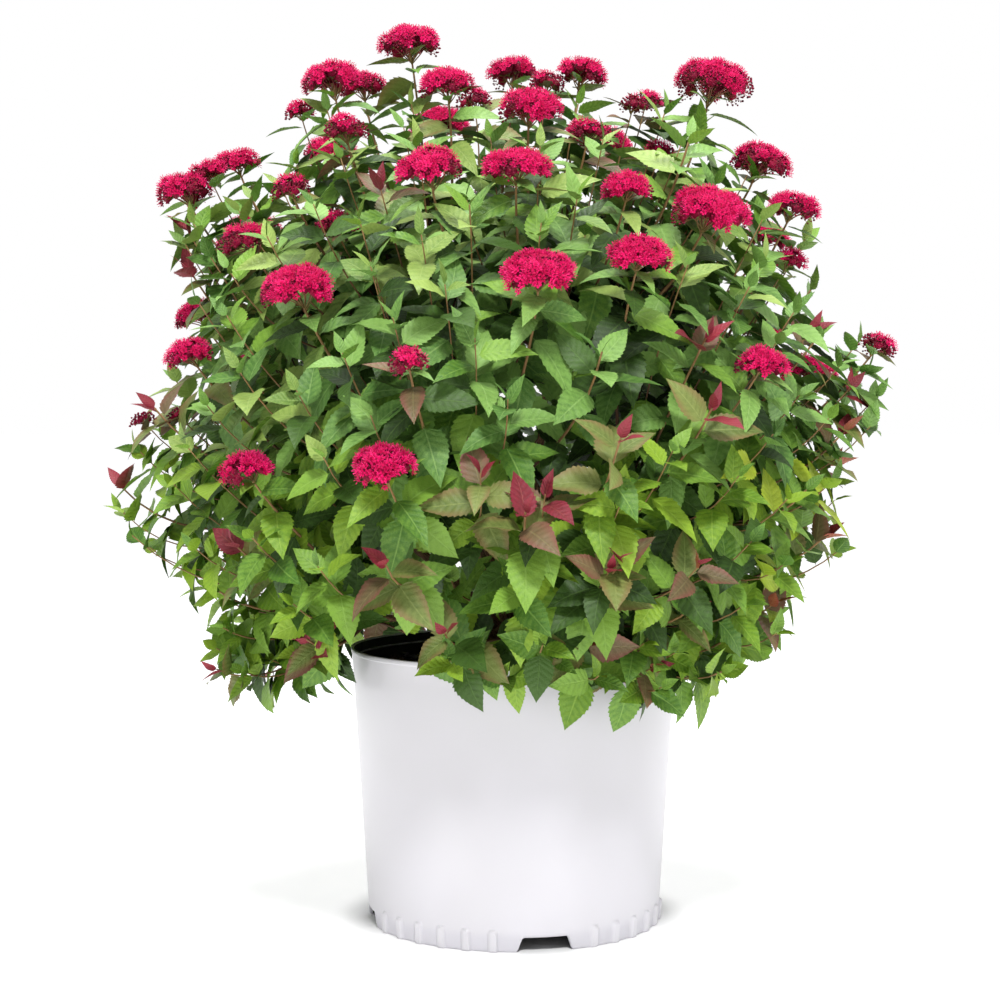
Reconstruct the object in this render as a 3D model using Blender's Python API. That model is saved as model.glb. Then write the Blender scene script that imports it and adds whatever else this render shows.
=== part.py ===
"""A flowering spirea in a nursery pot: the pot, its soil, a woody root crown, fourteen boughs, and
fourteen masses of foliage with their flower heads. Sizes are in metres.

The pot's axis is Z, the ground is z = 0, and the plant is looked at from -Y. Run it with
blender --background --python part.py, or from Blender's text editor."""

import math

import bmesh
import bpy
import numpy as np
from mathutils.bvhtree import BVHTree

SEED = 11
CLEAR = 0.0003  # gap between two solids that meet
UP = np.array((0.0, 0.0, 1.0))
ASKEW = np.array((0.31, 0.17, 0.93))  # along no limb, to start a limb's cross-section from
GOLDEN_TURN = math.pi * (3 - math.sqrt(5))

# The pot, a turned cup with a raised floor, a dish at its centre and a ribbed foot
POT_HEIGHT = 0.235
POT_TOP_RADIUS = 0.140
POT_FOOT_RADIUS = 0.1255
POT_STEPS = 40
POT_WALL = 0.0022
FLOOR_RISE = 0.012  # from the ground to the floor's underside
DISH_RADIUS = 0.030  # where the floor comes down to the ground
DISH_SLOPE = 0.005
RING_WIDTH = 0.003  # of the ring that the pot stands on
LIP_HEIGHT = 0.0045
LIP_PROUD = 0.0009
LEDGE_DROP = 0.009  # from the rim to the ledge inside it
LEDGE_DEPTH = 0.0011
NOTCH_COUNT = 4
NOTCH_TURN = math.radians(11.5)  # of the first notch, from the front towards +X
NOTCH_FOOT_WIDTH = 0.048
NOTCH_HEAD_WIDTH = 0.036
NOTCH_DEPTH = 0.012  # of its cutter, to either side of the foot's edge
CUT_OVER = 0.003  # how far a cutter passes what it cuts
RIBS_BETWEEN_NOTCHES = 6
RIB_PITCH = math.radians(10.2)
RIB_WIDTH = 0.0080
RIB_HEIGHT = 0.019
RIB_SHOULDER = 0.014  # where a rib starts to run out into the wall
RIB_PROUD = 0.0013
RIB_SUNK = 0.0009
DRAIN_RADIUS = 0.009
DRAIN_INSET = 0.018  # from the pot's foot edge to the middle of a drain hole
DRAIN_SIDES = 10

# Soil and root crown
SOIL_TOP = POT_HEIGHT - 0.020
SOIL_MOUND = 0.006
SOIL_RISES = ((0.6, 0.6), (0.3, 1.0))  # shares of its radius and of its mound, from the edge in
KNOB_SIDES = 16
KNOB_RADIUS = 0.024
KNOB_RISE = 0.012  # from the soil to the knob's centre
FLARE_RADIUS = 0.031
FLARE_HEIGHT = 0.003
FLARE_SHOULDER = 0.86  # share of its radius that is left at its top
KNOB_ANGLES = (-8, 16, 38, 60, 78)  # degrees above level of the rings round the knob

# The crown: its reach is half its width at its widest level, measured to the shoots' tips
CROWN_X = -0.012
WIDEST_LEVEL = 0.420
CROWN_REACH = 0.282
CROWN_RISE = 0.322
CROWN_DROP = 0.230
UPPER_SQUARENESS = 2.3
LOWER_SQUARENESS = 2.5
LOWEST_TIP = 0.232
HIGHEST_TIP = 0.722
LOWEST_LEAF = 0.188
REACH_HEIGHTS = (LOWEST_LEAF, 0.36)
REACH_RADII = (0.262, 0.346)  # no leaf stands further from the crown's axis at those heights

# Tiers of foliage masses: name, count, first turn in degrees, distance from the axis, height,
# share of the way at which the bough forks, its elevation at the knob, and its foot radius
TIERS = (
    ("skirt", 5, 18.0, 0.235, 0.290, 0.46, 27.0, 0.0048),
    ("middle", 5, 54.0, 0.225, 0.450, 0.46, 50.0, 0.0052),
    ("top", 4, 30.0, 0.115, 0.640, 0.54, 73.0, 0.0044),
)
BOUGH_PULL = 0.5  # how far along a bough keeps its first direction
BOUGH_TIP_SHARE = 0.62  # of its foot radius
BOUGH_SIDES = 6
BOUGH_STATIONS = 5
LINE_STEP = 0.004  # between the points that stand for a line in the tests on its space
CLAIM_STEP = 0.008
LEAF_PLACE_STEP = 0.002

# Shoots and leaves, larger than life because they are fewer
FILL_TIPS = 84
TIP_SPACING = 0.070
STEM_LENGTH = 0.026
STEM_RADIUS = 0.0034
STEM_TAPER = 0.8
STEM_HUB = 0.82  # share of the stem's length at which its shoots branch
SHOOT_RADIUS = 0.0023
SHOOT_TIP_RADIUS = 0.0013
SHOOT_STATIONS = 4
SHOOT_LIFTS = (0.5, 0.35, 0.65, 0.2, 0.8)  # how early a shoot turns to its end, in order of trial
SHOOT_SPACING = 0.009  # between shoots of two masses
IN_STEM = 3  # points of a shoot's line that lie in its stem
TIP_HEIGHTS = (0.22, 0.40, 0.55, 0.75)
TIP_ELEVATIONS = (2.0, 34.0, 56.0, 82.0)  # degrees above level of a shoot's end at those heights
FIRST_LEAF = 0.24  # share of a shoot that is bare
LAST_LEAF = 0.98
LAST_LEAF_UNDER_HEAD = 0.90
LEAF_STEP = 0.034
LEAF_LENGTH = 0.086
LEAF_WIDTH = 0.041
LEAF_THICKNESS = 0.0020
LEAF_WIDEST = 0.40  # share of its length
LEAF_FOLD = 0.14  # how far its sides rise, in widths
LEAF_DROOP = 0.22
SPREAD_SHARES = (0.3, 0.8, 1.0)  # of the way up a shoot, where its leaves stand off it by
SPREADS = (80.0, 62.0, 36.0)  # these degrees
SPREADS_UNDER_HEAD = (80.0, 62.0, 60.0)
SIZE_SHARES = (0.3, 0.55, 0.85, 1.0)  # of the way up a shoot, where its leaves have
SIZES = (0.85, 1.0, 0.95, 0.72)  # these sizes
SIZE_VARIETY = (0.90, 1.08)
LEAF_SKYWARD = 0.35  # how far a leaf's face is turned from its shoot's line to the sky
LEAF_SUNK = 0.4  # depth of a leaf's root in its shoot, in tip radii
NEARLY_UPRIGHT = 0.95
LEAF_NUDGES = (0.0, 0.7, -0.7, 1.4, -1.4, 2.2)  # radians to turn a leaf that finds no room
SPACE_MARGIN = 0.0020
LIMB_MARGIN = 0.0030
POT_MARGIN = 0.0040

# What stands out when the plant is seen from SIGHT: across, up, and depth behind the pot's axis
SIGHT = np.array((-0.012, -1.70, 0.435))
HEADS = (  # with the width of the flower head
    (-0.089, 0.748, -0.02, 0.056),
    (-0.156, 0.718, -0.05, 0.053),
    (-0.057, 0.714, -0.10, 0.050),
    (-0.001, 0.724, 0.06, 0.043),
    (0.057, 0.724, 0.03, 0.043),
    (0.013, 0.695, -0.14, 0.055),
    (0.170, 0.716, -0.03, 0.071),
    (-0.145, 0.676, -0.10, 0.039),
    (-0.072, 0.642, -0.21, 0.060),
    (0.002, 0.644, -0.22, 0.059),
    (0.064, 0.674, -0.09, 0.038),
    (0.098, 0.626, -0.20, 0.043),
    (0.168, 0.606, -0.19, 0.071),
    (0.211, 0.648, -0.06, 0.056),
    (0.240, 0.610, -0.09, 0.045),
    (-0.283, 0.624, -0.03, 0.050),
    (-0.238, 0.648, 0.03, 0.038),
    (-0.192, 0.627, -0.12, 0.034),
    (-0.229, 0.581, -0.12, 0.052),
    (-0.187, 0.540, -0.22, 0.069),
    (-0.279, 0.484, -0.13, 0.043),
    (0.022, 0.554, -0.28, 0.064),
    (0.108, 0.569, -0.25, 0.055),
    (-0.091, 0.478, -0.30, 0.036),
    (0.214, 0.476, -0.22, 0.045),
    (0.313, 0.492, -0.02, 0.034),
    (-0.231, 0.385, -0.22, 0.046),
    (-0.113, 0.389, -0.30, 0.054),
)
YOUNG_TIPS = (  # bronze and red leaf tips with no flower
    (-0.342, 0.375, -0.02),
    (-0.310, 0.440, -0.06),
    (-0.241, 0.322, -0.17),
    (-0.111, 0.305, -0.27),
    (-0.060, 0.245, -0.22),
    (0.067, 0.240, -0.21),
    (0.152, 0.266, -0.19),
    (0.092, 0.310, -0.27),
    (0.010, 0.350, -0.30),
    (0.092, 0.414, -0.30),
    (0.171, 0.440, -0.25),
    (0.165, 0.500, -0.23),
    (0.285, 0.420, -0.07),
    (0.270, 0.330, -0.08),
    (-0.180, 0.240, -0.17),
    (-0.280, 0.560, -0.04),
)
REAR_HEADS_ABOVE = 0.44  # shoots behind the axis flower above this height
REAR_HEADS_FROM = 0.03  # and at least this far behind it
REAR_HEAD_WIDTH = 0.054
HEAD_SHRINKS = (1.0, 0.85, 0.7)  # sizes to try a flower head at
HEAD_SIDES = 6
HEAD_RINGS = ((0.30, -0.14), (0.50, 0.06), (0.30, 0.34))  # radius and rise, in head widths


def clear_scene():
    for thing in list(bpy.data.objects):
        bpy.data.objects.remove(thing)


def material(name, colour, roughness, metallic=0.0):
    made = bpy.data.materials.new(name)
    made.use_nodes = True
    shader = made.node_tree.nodes["Principled BSDF"]
    shader.inputs["Base Color"].default_value = (*colour, 1.0)
    shader.inputs["Roughness"].default_value = roughness
    shader.inputs["Metallic"].default_value = metallic
    return made


def mesh_object(name, points, faces, look, collection=None):
    """A mesh object from points and faces, with its normals made to point outwards."""
    mesh = bpy.data.meshes.new(name)
    mesh.from_pydata([tuple(p) for p in points], [], faces)
    shape = bmesh.new()
    shape.from_mesh(mesh)
    bmesh.ops.recalc_face_normals(shape, faces=shape.faces)
    shape.to_mesh(mesh)
    shape.free()
    mesh.materials.append(look)
    thing = bpy.data.objects.new(name, mesh)
    (collection or bpy.context.scene.collection).objects.link(thing)
    return thing


def turned(name, profile, steps, look):
    """A closed (radius, height) outline spun about Z. Points of radius 0 close on the axis."""
    shape = bmesh.new()
    ring = [shape.verts.new((radius, 0.0, height)) for radius, height in profile]
    edges = [shape.edges.new((a, b)) for a, b in zip(ring, ring[1:] + ring[:1])]
    bmesh.ops.spin(
        shape, geom=ring + edges, axis=tuple(UP), cent=(0, 0, 0), angle=2 * math.pi,
        steps=steps, use_merge=True, use_duplicate=False,
    )
    bmesh.ops.remove_doubles(shape, verts=shape.verts, dist=1e-6)
    bmesh.ops.dissolve_degenerate(shape, edges=shape.edges, dist=1e-6)
    bmesh.ops.recalc_face_normals(shape, faces=shape.faces)
    mesh = bpy.data.meshes.new(name)
    shape.to_mesh(mesh)
    shape.free()
    mesh.materials.append(look)
    mesh.shade_smooth()
    mesh.set_sharp_from_angle(angle=math.radians(35))
    thing = bpy.data.objects.new(name, mesh)
    bpy.context.scene.collection.objects.link(thing)
    return thing


def new_collection(name):
    made = bpy.data.collections.new(name)
    bpy.context.scene.collection.children.link(made)
    return made


def fuse(base, parts, operation="UNION"):
    """Joins a collection of closed objects to base, or cuts them from it, and removes them."""
    step = base.modifiers.new("fuse", "BOOLEAN")
    step.operation = operation
    step.operand_type = "COLLECTION"
    step.collection = parts
    step.solver = "EXACT"
    bpy.context.view_layer.update()
    evaluated = base.evaluated_get(bpy.context.evaluated_depsgraph_get())
    fused = bpy.data.meshes.new_from_object(evaluated)
    base.modifiers.clear()
    base.data = fused
    for part in list(parts.objects):
        bpy.data.objects.remove(part)
    bpy.data.collections.remove(parts)
    return base


def unit(vector):
    return vector / np.linalg.norm(vector)


def out_at(turn):
    """The level direction at a turn from the front, -Y, towards +X."""
    return np.array((math.sin(turn), -math.cos(turn), 0.0))


def wall_radius(height):
    """The pot's outside radius at a height, along its straight taper."""
    return POT_FOOT_RADIUS + (POT_TOP_RADIUS - POT_FOOT_RADIUS) * height / POT_HEIGHT


def pot_outline():
    """From the dish under the floor, out to the foot ring, up the wall, and back down inside."""
    lip_foot = POT_HEIGHT - LIP_HEIGHT
    ledge = POT_HEIGHT - LEDGE_DROP
    floor_top = FLOOR_RISE + POT_WALL
    inner_top = wall_radius(POT_HEIGHT) - POT_WALL + LEDGE_DEPTH / 2
    inner_dish = DISH_RADIUS - 0.7 * POT_WALL
    return [
        (0.0, 0.0),
        (DISH_RADIUS, 0.0),
        (DISH_RADIUS + DISH_SLOPE, FLOOR_RISE),
        (wall_radius(FLOOR_RISE) - RING_WIDTH, FLOOR_RISE),
        (POT_FOOT_RADIUS - RING_WIDTH, 0.0),
        (POT_FOOT_RADIUS, 0.0),
        (wall_radius(lip_foot), lip_foot),
        (wall_radius(lip_foot) + LIP_PROUD, lip_foot + LIP_PROUD),
        (wall_radius(POT_HEIGHT) + LIP_PROUD, POT_HEIGHT),
        (inner_top, POT_HEIGHT),
        (inner_top, ledge),
        (inner_top - LEDGE_DEPTH, ledge),
        (wall_radius(floor_top) - POT_WALL, floor_top),
        (inner_dish + DISH_SLOPE, floor_top),
        (inner_dish, POT_WALL),
        (0.0, POT_WALL),
    ]


def notch_turns():
    return [NOTCH_TURN + i * 2 * math.pi / NOTCH_COUNT for i in range(NOTCH_COUNT)]


def foot_rib(turn, look, parts):
    """An upright rib that stands proud of the pot's foot and runs out into the wall at its top."""
    out = out_at(turn)
    side = np.cross(UP, out)
    half, slim = RIB_WIDTH / 2, RIB_WIDTH / 4
    points = []
    for height, proud in ((0.0, RIB_PROUD), (RIB_SHOULDER, RIB_PROUD), (RIB_HEIGHT, -RIB_SUNK / 2)):
        level = UP * height
        inner, outer = wall_radius(height) - RIB_SUNK, wall_radius(height) + proud
        points += [
            out * inner - side * half + level,
            out * outer - side * slim + level,
            out * outer + side * slim + level,
            out * inner + side * half + level,
        ]
    faces = [(0, 1, 2, 3), (8, 9, 10, 11)]
    for ring in (0, 4):
        faces += [(ring + i, ring + (i + 1) % 4, ring + 4 + (i + 1) % 4, ring + 4 + i) for i in range(4)]
    return mesh_object("rib", points, faces, look, parts)


def foot_notch(turn, look, parts):
    """The cutter of a trapezoid notch through the foot, from the ground to the floor."""
    out = out_at(turn)
    side = np.cross(UP, out)
    points = []
    for reach in (POT_FOOT_RADIUS - NOTCH_DEPTH, POT_FOOT_RADIUS + NOTCH_DEPTH):
        for width, height in ((NOTCH_FOOT_WIDTH, -CUT_OVER), (NOTCH_HEAD_WIDTH, FLOOR_RISE - CLEAR)):
            points += [out * reach + side * across + UP * height for across in (-width / 2, width / 2)]
    faces = [(0, 1, 3, 2), (4, 6, 7, 5), (0, 2, 6, 4), (1, 5, 7, 3), (2, 3, 7, 6), (0, 4, 5, 1)]
    return mesh_object("notch", points, faces, look, parts)


def drain_hole(turn, look, parts):
    """The cutter of a round drain hole in the floor behind a notch."""
    sides = DRAIN_SIDES
    centre = out_at(turn) * (POT_FOOT_RADIUS - DRAIN_INSET)
    points = []
    for height in (FLOOR_RISE - CUT_OVER, FLOOR_RISE + POT_WALL + CUT_OVER):
        for i in range(sides):
            around = 2 * math.pi * i / sides
            spoke = np.array((math.cos(around), math.sin(around), 0.0))
            points.append(centre + spoke * DRAIN_RADIUS + UP * height)
    faces = [tuple(range(sides)), tuple(range(sides, 2 * sides))]
    faces += [(i, (i + 1) % sides, sides + (i + 1) % sides, sides + i) for i in range(sides)]
    return mesh_object("drain", points, faces, look, parts)


def build_pot(look):
    """The pot, with its foot ribbed between the notches and its floor drained behind each."""
    pot = turned("pot", pot_outline(), POT_STEPS, look)
    ribs = new_collection("ribs")
    middle = (RIBS_BETWEEN_NOTCHES - 1) / 2
    for turn in notch_turns():
        for i in range(RIBS_BETWEEN_NOTCHES):
            foot_rib(turn + math.pi / NOTCH_COUNT + (i - middle) * RIB_PITCH, look, ribs)
    fuse(pot, ribs)
    cutters = new_collection("cutters")
    for turn in notch_turns():
        foot_notch(turn, look, cutters)
        drain_hole(turn, look, cutters)
    return fuse(pot, cutters, "DIFFERENCE")


def build_soil(look):
    """Soil that fills the pot to a little under the rim and rises slightly to the middle."""
    inset = POT_WALL + 2 * CLEAR
    base = FLOOR_RISE + POT_WALL + CLEAR
    edge = wall_radius(SOIL_TOP) - inset - LEDGE_DEPTH / 2
    outline = [
        (0.0, base),
        (wall_radius(base) - inset, base),
        (edge, SOIL_TOP),
        *((edge * share, SOIL_TOP + SOIL_MOUND * rise) for share, rise in SOIL_RISES),
        (0.0, SOIL_TOP + SOIL_MOUND),
    ]
    return turned("soil", outline, POT_STEPS // 2, look)


def knob_centre():
    return UP * (SOIL_TOP + SOIL_MOUND + CLEAR + KNOB_RISE)


def build_root_crown(look):
    """The short woody stem: a flare on the soil, and the rounded knob that the boughs leave."""
    foot = SOIL_TOP + SOIL_MOUND + CLEAR
    centre = foot + KNOB_RISE
    flare_top = (FLARE_RADIUS * FLARE_SHOULDER, foot + FLARE_HEIGHT)
    outline = [(0.0, foot), (FLARE_RADIUS, foot), flare_top]
    for degrees in KNOB_ANGLES:
        angle = math.radians(degrees)
        outline.append((KNOB_RADIUS * math.cos(angle), centre + KNOB_RADIUS * math.sin(angle)))
    outline.append((0.0, centre + KNOB_RADIUS))
    return turned("root_crown", outline, KNOB_SIDES, look)


def bend(start, pull, end, count):
    """Points along a quadratic curve from start to end that leaves towards pull."""
    t = np.linspace(0.0, 1.0, count)[:, None]
    return (1 - t) ** 2 * start + 2 * t * (1 - t) * pull + t**2 * end


def limb(name, path, radii, sides, look, collection=None):
    """A tapering limb: one ring of points about each station of its path, closed at both ends."""
    tangents = np.gradient(path, axis=0)
    tangents /= np.linalg.norm(tangents, axis=1, keepdims=True)
    across = np.cross(tangents[0], ASKEW)
    points = []
    for place, along, radius in zip(path, tangents, radii):
        across = unit(across - along * np.dot(across, along))
        other = np.cross(along, across)
        for i in range(sides):
            angle = 2 * math.pi * i / sides
            points.append(place + radius * (across * math.cos(angle) + other * math.sin(angle)))
    last = len(path) - 1
    faces = [tuple(range(sides)), tuple(last * sides + i for i in range(sides))]
    for ring in range(last):
        for i in range(sides):
            a, b = ring * sides + i, ring * sides + (i + 1) % sides
            faces.append((a, b, b + sides, a + sides))
    return mesh_object(name, points, faces, look, collection)


def crown_radius(height):
    """Half the crown's width at a height: a squared-off egg, fuller below its widest level."""
    above = height - WIDEST_LEVEL
    if above >= 0:
        share, power = above / CROWN_RISE, UPPER_SQUARENESS
    else:
        share, power = -above / CROWN_DROP, LOWER_SQUARENESS
    return CROWN_REACH * max(0.0, 1 - share**power) ** (1 / power)


def end_direction(tip):
    """The way a shoot points at its tip: level at the skirt, and upright at the top."""
    lean = math.radians(np.interp(tip[2], TIP_HEIGHTS, TIP_ELEVATIONS))
    out = unit(np.array((tip[0] - CROWN_X, tip[1], 0.0)))
    return out * math.cos(lean) + UP * math.sin(lean)


def seen_tips():
    """(tip, head width) of all that stands out in front, moved to its depth along the line of
    sight. The width is 0 where there is no flower head."""
    found = []
    for across, up, depth, width in HEADS + tuple((*tip, 0.0) for tip in YOUNG_TIPS):
        share = 1 + depth / -SIGHT[1]
        found.append((SIGHT + (np.array((across, 0.0, up)) - SIGHT) * share, width * share))
    return found


def fill_tips(count, spacing, taken):
    """Tips on a golden spiral over the crown's surface, kept apart from those already taken."""
    found = []
    for i in range(count):
        height = LOWEST_TIP + (i + 0.5) / count * (HIGHEST_TIP - LOWEST_TIP)
        tip = out_at(i * GOLDEN_TURN) * crown_radius(height) + UP * height
        tip[0] += CROWN_X
        if all(np.linalg.norm(tip - other) > spacing for other in taken + found):
            found.append(tip)
    return found


def all_tips():
    """Every shoot's (tip, head width), with no head where the width is 0."""
    tips = seen_tips()
    for tip in fill_tips(FILL_TIPS, TIP_SPACING, [place for place, _ in tips]):
        flowers = tip[1] > REAR_HEADS_FROM and tip[2] > REAR_HEADS_ABOVE
        tips.append((tip, REAR_HEAD_WIDTH if flowers else 0.0))
    return tips


def plan_crown():
    """Each mass's name and middle, and the line and radii of the bough under it."""
    plan = []
    for tier, count, first, distance, height, fork_share, leave, foot_radius in TIERS:
        for i in range(count):
            out = out_at(math.radians(first + 360 * i / count))
            middle = out * distance + UP * height + np.array((CROWN_X, 0.0, 0.0))
            leaving = out * math.cos(math.radians(leave)) + UP * math.sin(math.radians(leave))
            foot = knob_centre() + leaving * (KNOB_RADIUS + CLEAR)
            fork = foot + (middle - foot) * fork_share
            pull = foot + leaving * np.linalg.norm(fork - foot) * BOUGH_PULL
            line = bend(foot, pull, fork, BOUGH_STATIONS)
            radii = np.linspace(foot_radius, foot_radius * BOUGH_TIP_SHARE, BOUGH_STATIONS)
            plan.append({"name": f"{tier}_{i + 1}", "middle": middle, "line": line, "radii": radii})
    return plan


def dense(line, step=LINE_STEP):
    """The same line with points no further apart than step."""
    pieces = [line[:1]]
    for a, b in zip(line[:-1], line[1:]):
        count = max(2, math.ceil(np.linalg.norm(b - a) / step) + 1)
        pieces.append(a + (b - a) * np.linspace(0, 1, count)[1:, None])
    return np.concatenate(pieces)


def nearest(points, others):
    """The least distance from each of points to any of others."""
    return np.linalg.norm(points[:, None] - others[None], axis=2).min(axis=1)


def clear_of_pot(points):
    """Whether points stay outside the pot, or above its rim."""
    radius = np.linalg.norm(points[:, :2], axis=1)
    outside = radius > POT_TOP_RADIUS + LIP_PROUD + POT_MARGIN
    return bool((outside | (points[:, 2] > POT_HEIGHT + POT_MARGIN)).all())


def within_reach(points):
    """Whether points stay within the crown's furthest reach."""
    radius = np.linalg.norm(points[:, :2] - (CROWN_X, 0.0), axis=1)
    furthest = np.interp(points[:, 2], REACH_HEIGHTS, REACH_RADII)
    return bool(((radius < furthest) & (points[:, 2] > LOWEST_LEAF)).all())


class Spaces:
    """The space of each mass: what is nearer to its own shoots than to another's, off all limbs."""

    def __init__(self, plan):
        lines = [dense(mass["line"]) for mass in plan]
        self.boughs = np.concatenate(lines)
        self.bough_radii = np.concatenate([
            np.linspace(mass["radii"][0], mass["radii"][-1], len(line)) for mass, line in zip(plan, lines)
        ])
        self.lines = {mass["name"]: [] for mass in plan}

    def claim(self, name, line):
        self.lines[name].append(dense(line, CLAIM_STEP))

    def others(self, name):
        return np.concatenate([line for key, kept in self.lines.items() if key != name for line in kept])

    def clear_of_boughs(self, points):
        gaps = np.linalg.norm(points[:, None] - self.boughs[None], axis=2) - self.bough_radii
        return gaps.min() > LIMB_MARGIN

    def holds(self, name, points):
        own = nearest(points, np.concatenate(self.lines[name]))
        return bool((own < nearest(points, self.others(name)) - SPACE_MARGIN).all())

    def free(self, name, points):
        bounded = within_reach(points) and clear_of_pot(points)
        return bounded and self.clear_of_boughs(points) and self.holds(name, points)


def route_shoots(plan, tips):
    """Gives each tip to the nearest mass, routes a shoot to it, and claims the mass's space."""
    spaces = Spaces(plan)
    middles = np.array([mass["middle"] for mass in plan])
    for mass in plan:
        heading = unit(mass["line"][-1] - mass["line"][-2])
        foot = mass["line"][-1] + heading * CLEAR
        mass["stem"] = np.array((foot, foot + heading * STEM_LENGTH))
        mass["shoots"] = []
        spaces.claim(mass["name"], mass["stem"])
    for tip, width in tips:
        mass = plan[int(np.linalg.norm(middles - tip, axis=1).argmin())]
        hub = mass["stem"][0] + (mass["stem"][1] - mass["stem"][0]) * STEM_HUB
        reach = np.linalg.norm(tip - hub)
        for lift in SHOOT_LIFTS:
            line = bend(hub, tip - end_direction(tip) * reach * lift, tip, SHOOT_STATIONS)
            free_part = dense(line)[IN_STEM:]
            apart = nearest(free_part, spaces.others(mass["name"])).min() > SHOOT_SPACING
            if apart and clear_of_pot(free_part) and spaces.clear_of_boughs(free_part):
                mass["shoots"].append((line, width))
                spaces.claim(mass["name"], line)
                break
    return spaces


def leaf_points(root, ahead, face, length, width):
    """A leaf's five corners: root, left, tip, right, and the top of its rib. Its underside is
    straight along the rib, and its sides are raised like a shallow V."""
    side = np.cross(face, ahead)
    middle = root + ahead * length * LEAF_WIDEST
    raised = face * width * LEAF_FOLD
    return np.array((
        root,
        middle + side * width / 2 + raised,
        root + ahead * length,
        middle - side * width / 2 + raised,
        middle + face * LEAF_THICKNESS,
    ))


LEAF_FACES = [(0, 4, 1), (1, 4, 2), (2, 4, 3), (3, 4, 0), (0, 1, 2), (0, 2, 3)]


def leaf_samples(corners):
    """Points spread over a leaf's edges and rib, for the tests on its space."""
    root, left, tip, right, top = corners
    ends = np.array((left, right, top, left, right))
    starts = np.array((tip, tip, tip, root, root))
    return np.concatenate([corners] + [starts + (ends - starts) * share for share in (1 / 3, 2 / 3)])


def head_points(tip, axis, width):
    """A flower head's corners: a flat-topped dome, as rings of points about its axis."""
    across = unit(np.cross(axis, ASKEW[[0, 2, 1]]))
    other = np.cross(axis, across)
    points = []
    for radius, rise in HEAD_RINGS:
        for i in range(HEAD_SIDES):
            angle = 2 * math.pi * i / HEAD_SIDES
            spoke = across * math.cos(angle) + other * math.sin(angle)
            points.append(tip + (spoke * radius + axis * rise) * width)
    return np.array(points)


def head_faces():
    last = len(HEAD_RINGS) - 1
    faces = [tuple(range(HEAD_SIDES)), tuple(last * HEAD_SIDES + i for i in range(HEAD_SIDES))]
    for ring in range(last):
        for i in range(HEAD_SIDES):
            a, b = ring * HEAD_SIDES + i, ring * HEAD_SIDES + (i + 1) % HEAD_SIDES
            faces.append((a, b, b + HEAD_SIDES, a + HEAD_SIDES))
    return faces


class Crowding:
    """What a mass already holds, so that leaves and heads don't cut into each other."""

    def __init__(self):
        self.held = []

    def accepts(self, points, faces):
        """Whether a new solid touches none that is held. If it doesn't, it is held from now on."""
        middle = points.mean(axis=0)
        reach = np.linalg.norm(points - middle, axis=1).max()
        tree = BVHTree.FromPolygons([tuple(p) for p in points], faces)
        for other_middle, other_reach, other in self.held:
            if np.linalg.norm(middle - other_middle) < reach + other_reach and tree.overlap(other):
                return False
        self.held.append((middle, reach, tree))
        return True


def leaf_tries(line, random, flowers):
    """For each leaf that spirals up a shoot, its place and size at each angle that may be tried."""
    fine = dense(line, LEAF_PLACE_STEP)
    heading = np.gradient(fine, axis=0)
    length = np.linalg.norm(np.diff(fine, axis=0), axis=1).sum()
    last, spreads = (LAST_LEAF_UNDER_HEAD, SPREADS_UNDER_HEAD) if flowers else (LAST_LEAF, SPREADS)
    count = max(3, round(length * (last - FIRST_LEAF) / LEAF_STEP) + 1)
    turn = random.uniform(0, 2 * math.pi)
    for k, share in enumerate(np.linspace(FIRST_LEAF, last, count)):
        place = int(share * (len(fine) - 1))
        along = unit(heading[place])
        across = unit(np.cross(along, UP) if abs(along[2]) < NEARLY_UPRIGHT else np.cross(along, ASKEW))
        other = np.cross(along, across)
        spread = math.radians(np.interp(share, SPREAD_SHARES, spreads))
        size = np.interp(share, SIZE_SHARES, SIZES) * random.uniform(*SIZE_VARIETY)
        tries = []
        for nudge in LEAF_NUDGES:
            angle = turn + k * GOLDEN_TURN + nudge
            aside = across * math.cos(angle) + other * math.sin(angle)
            ahead = unit(aside * math.sin(spread) + along * math.cos(spread) - UP * LEAF_DROOP)
            face = along + UP * LEAF_SKYWARD
            face = unit(face - ahead * np.dot(face, ahead))
            root = fine[place] - ahead * SHOOT_TIP_RADIUS * LEAF_SUNK
            tries.append(leaf_points(root, ahead, face, LEAF_LENGTH * size, LEAF_WIDTH * size))
        yield tries


def build_mass(mass, spaces, look, random):
    """One mass of foliage, fused: its stem, its shoots, their flower heads and their leaves."""
    name = mass["name"]
    stem = limb("foliage_" + name, mass["stem"], (STEM_RADIUS, STEM_RADIUS * STEM_TAPER), BOUGH_SIDES, look)
    parts = new_collection(name)
    crowding = Crowding()
    for line, width in mass["shoots"]:
        limb("shoot", line, np.linspace(SHOOT_RADIUS, SHOOT_TIP_RADIUS, len(line)), 3, look, parts)
        for shrink in HEAD_SHRINKS if width else ():
            points = head_points(line[-1], end_direction(line[-1]), width * shrink)
            if spaces.free(name, points) and crowding.accepts(points, head_faces()):
                mesh_object("head", points, head_faces(), look, parts)
                break
    for line, width in mass["shoots"]:
        for tries in leaf_tries(line, random, width > 0):
            for corners in tries:
                if spaces.free(name, leaf_samples(corners)) and crowding.accepts(corners, LEAF_FACES):
                    mesh_object("leaf", corners, LEAF_FACES, look, parts)
                    break
    return fuse(stem, parts)


def main():
    clear_scene()
    white = material("pot_white", (0.86, 0.85, 0.88), 0.32)
    earth = material("soil", (0.035, 0.028, 0.026), 0.95)
    bark = material("bark", (0.16, 0.085, 0.045), 0.75)
    foliage = material("foliage", (0.12, 0.26, 0.06), 0.55)
    build_pot(white)
    build_soil(earth)
    build_root_crown(bark)
    plan = plan_crown()
    for mass in plan:
        limb("bough_" + mass["name"], mass["line"], mass["radii"], BOUGH_SIDES, bark)
    spaces = route_shoots(plan, all_tips())
    for i, mass in enumerate(plan):
        build_mass(mass, spaces, foliage, np.random.default_rng((SEED, i)))


main()
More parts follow.
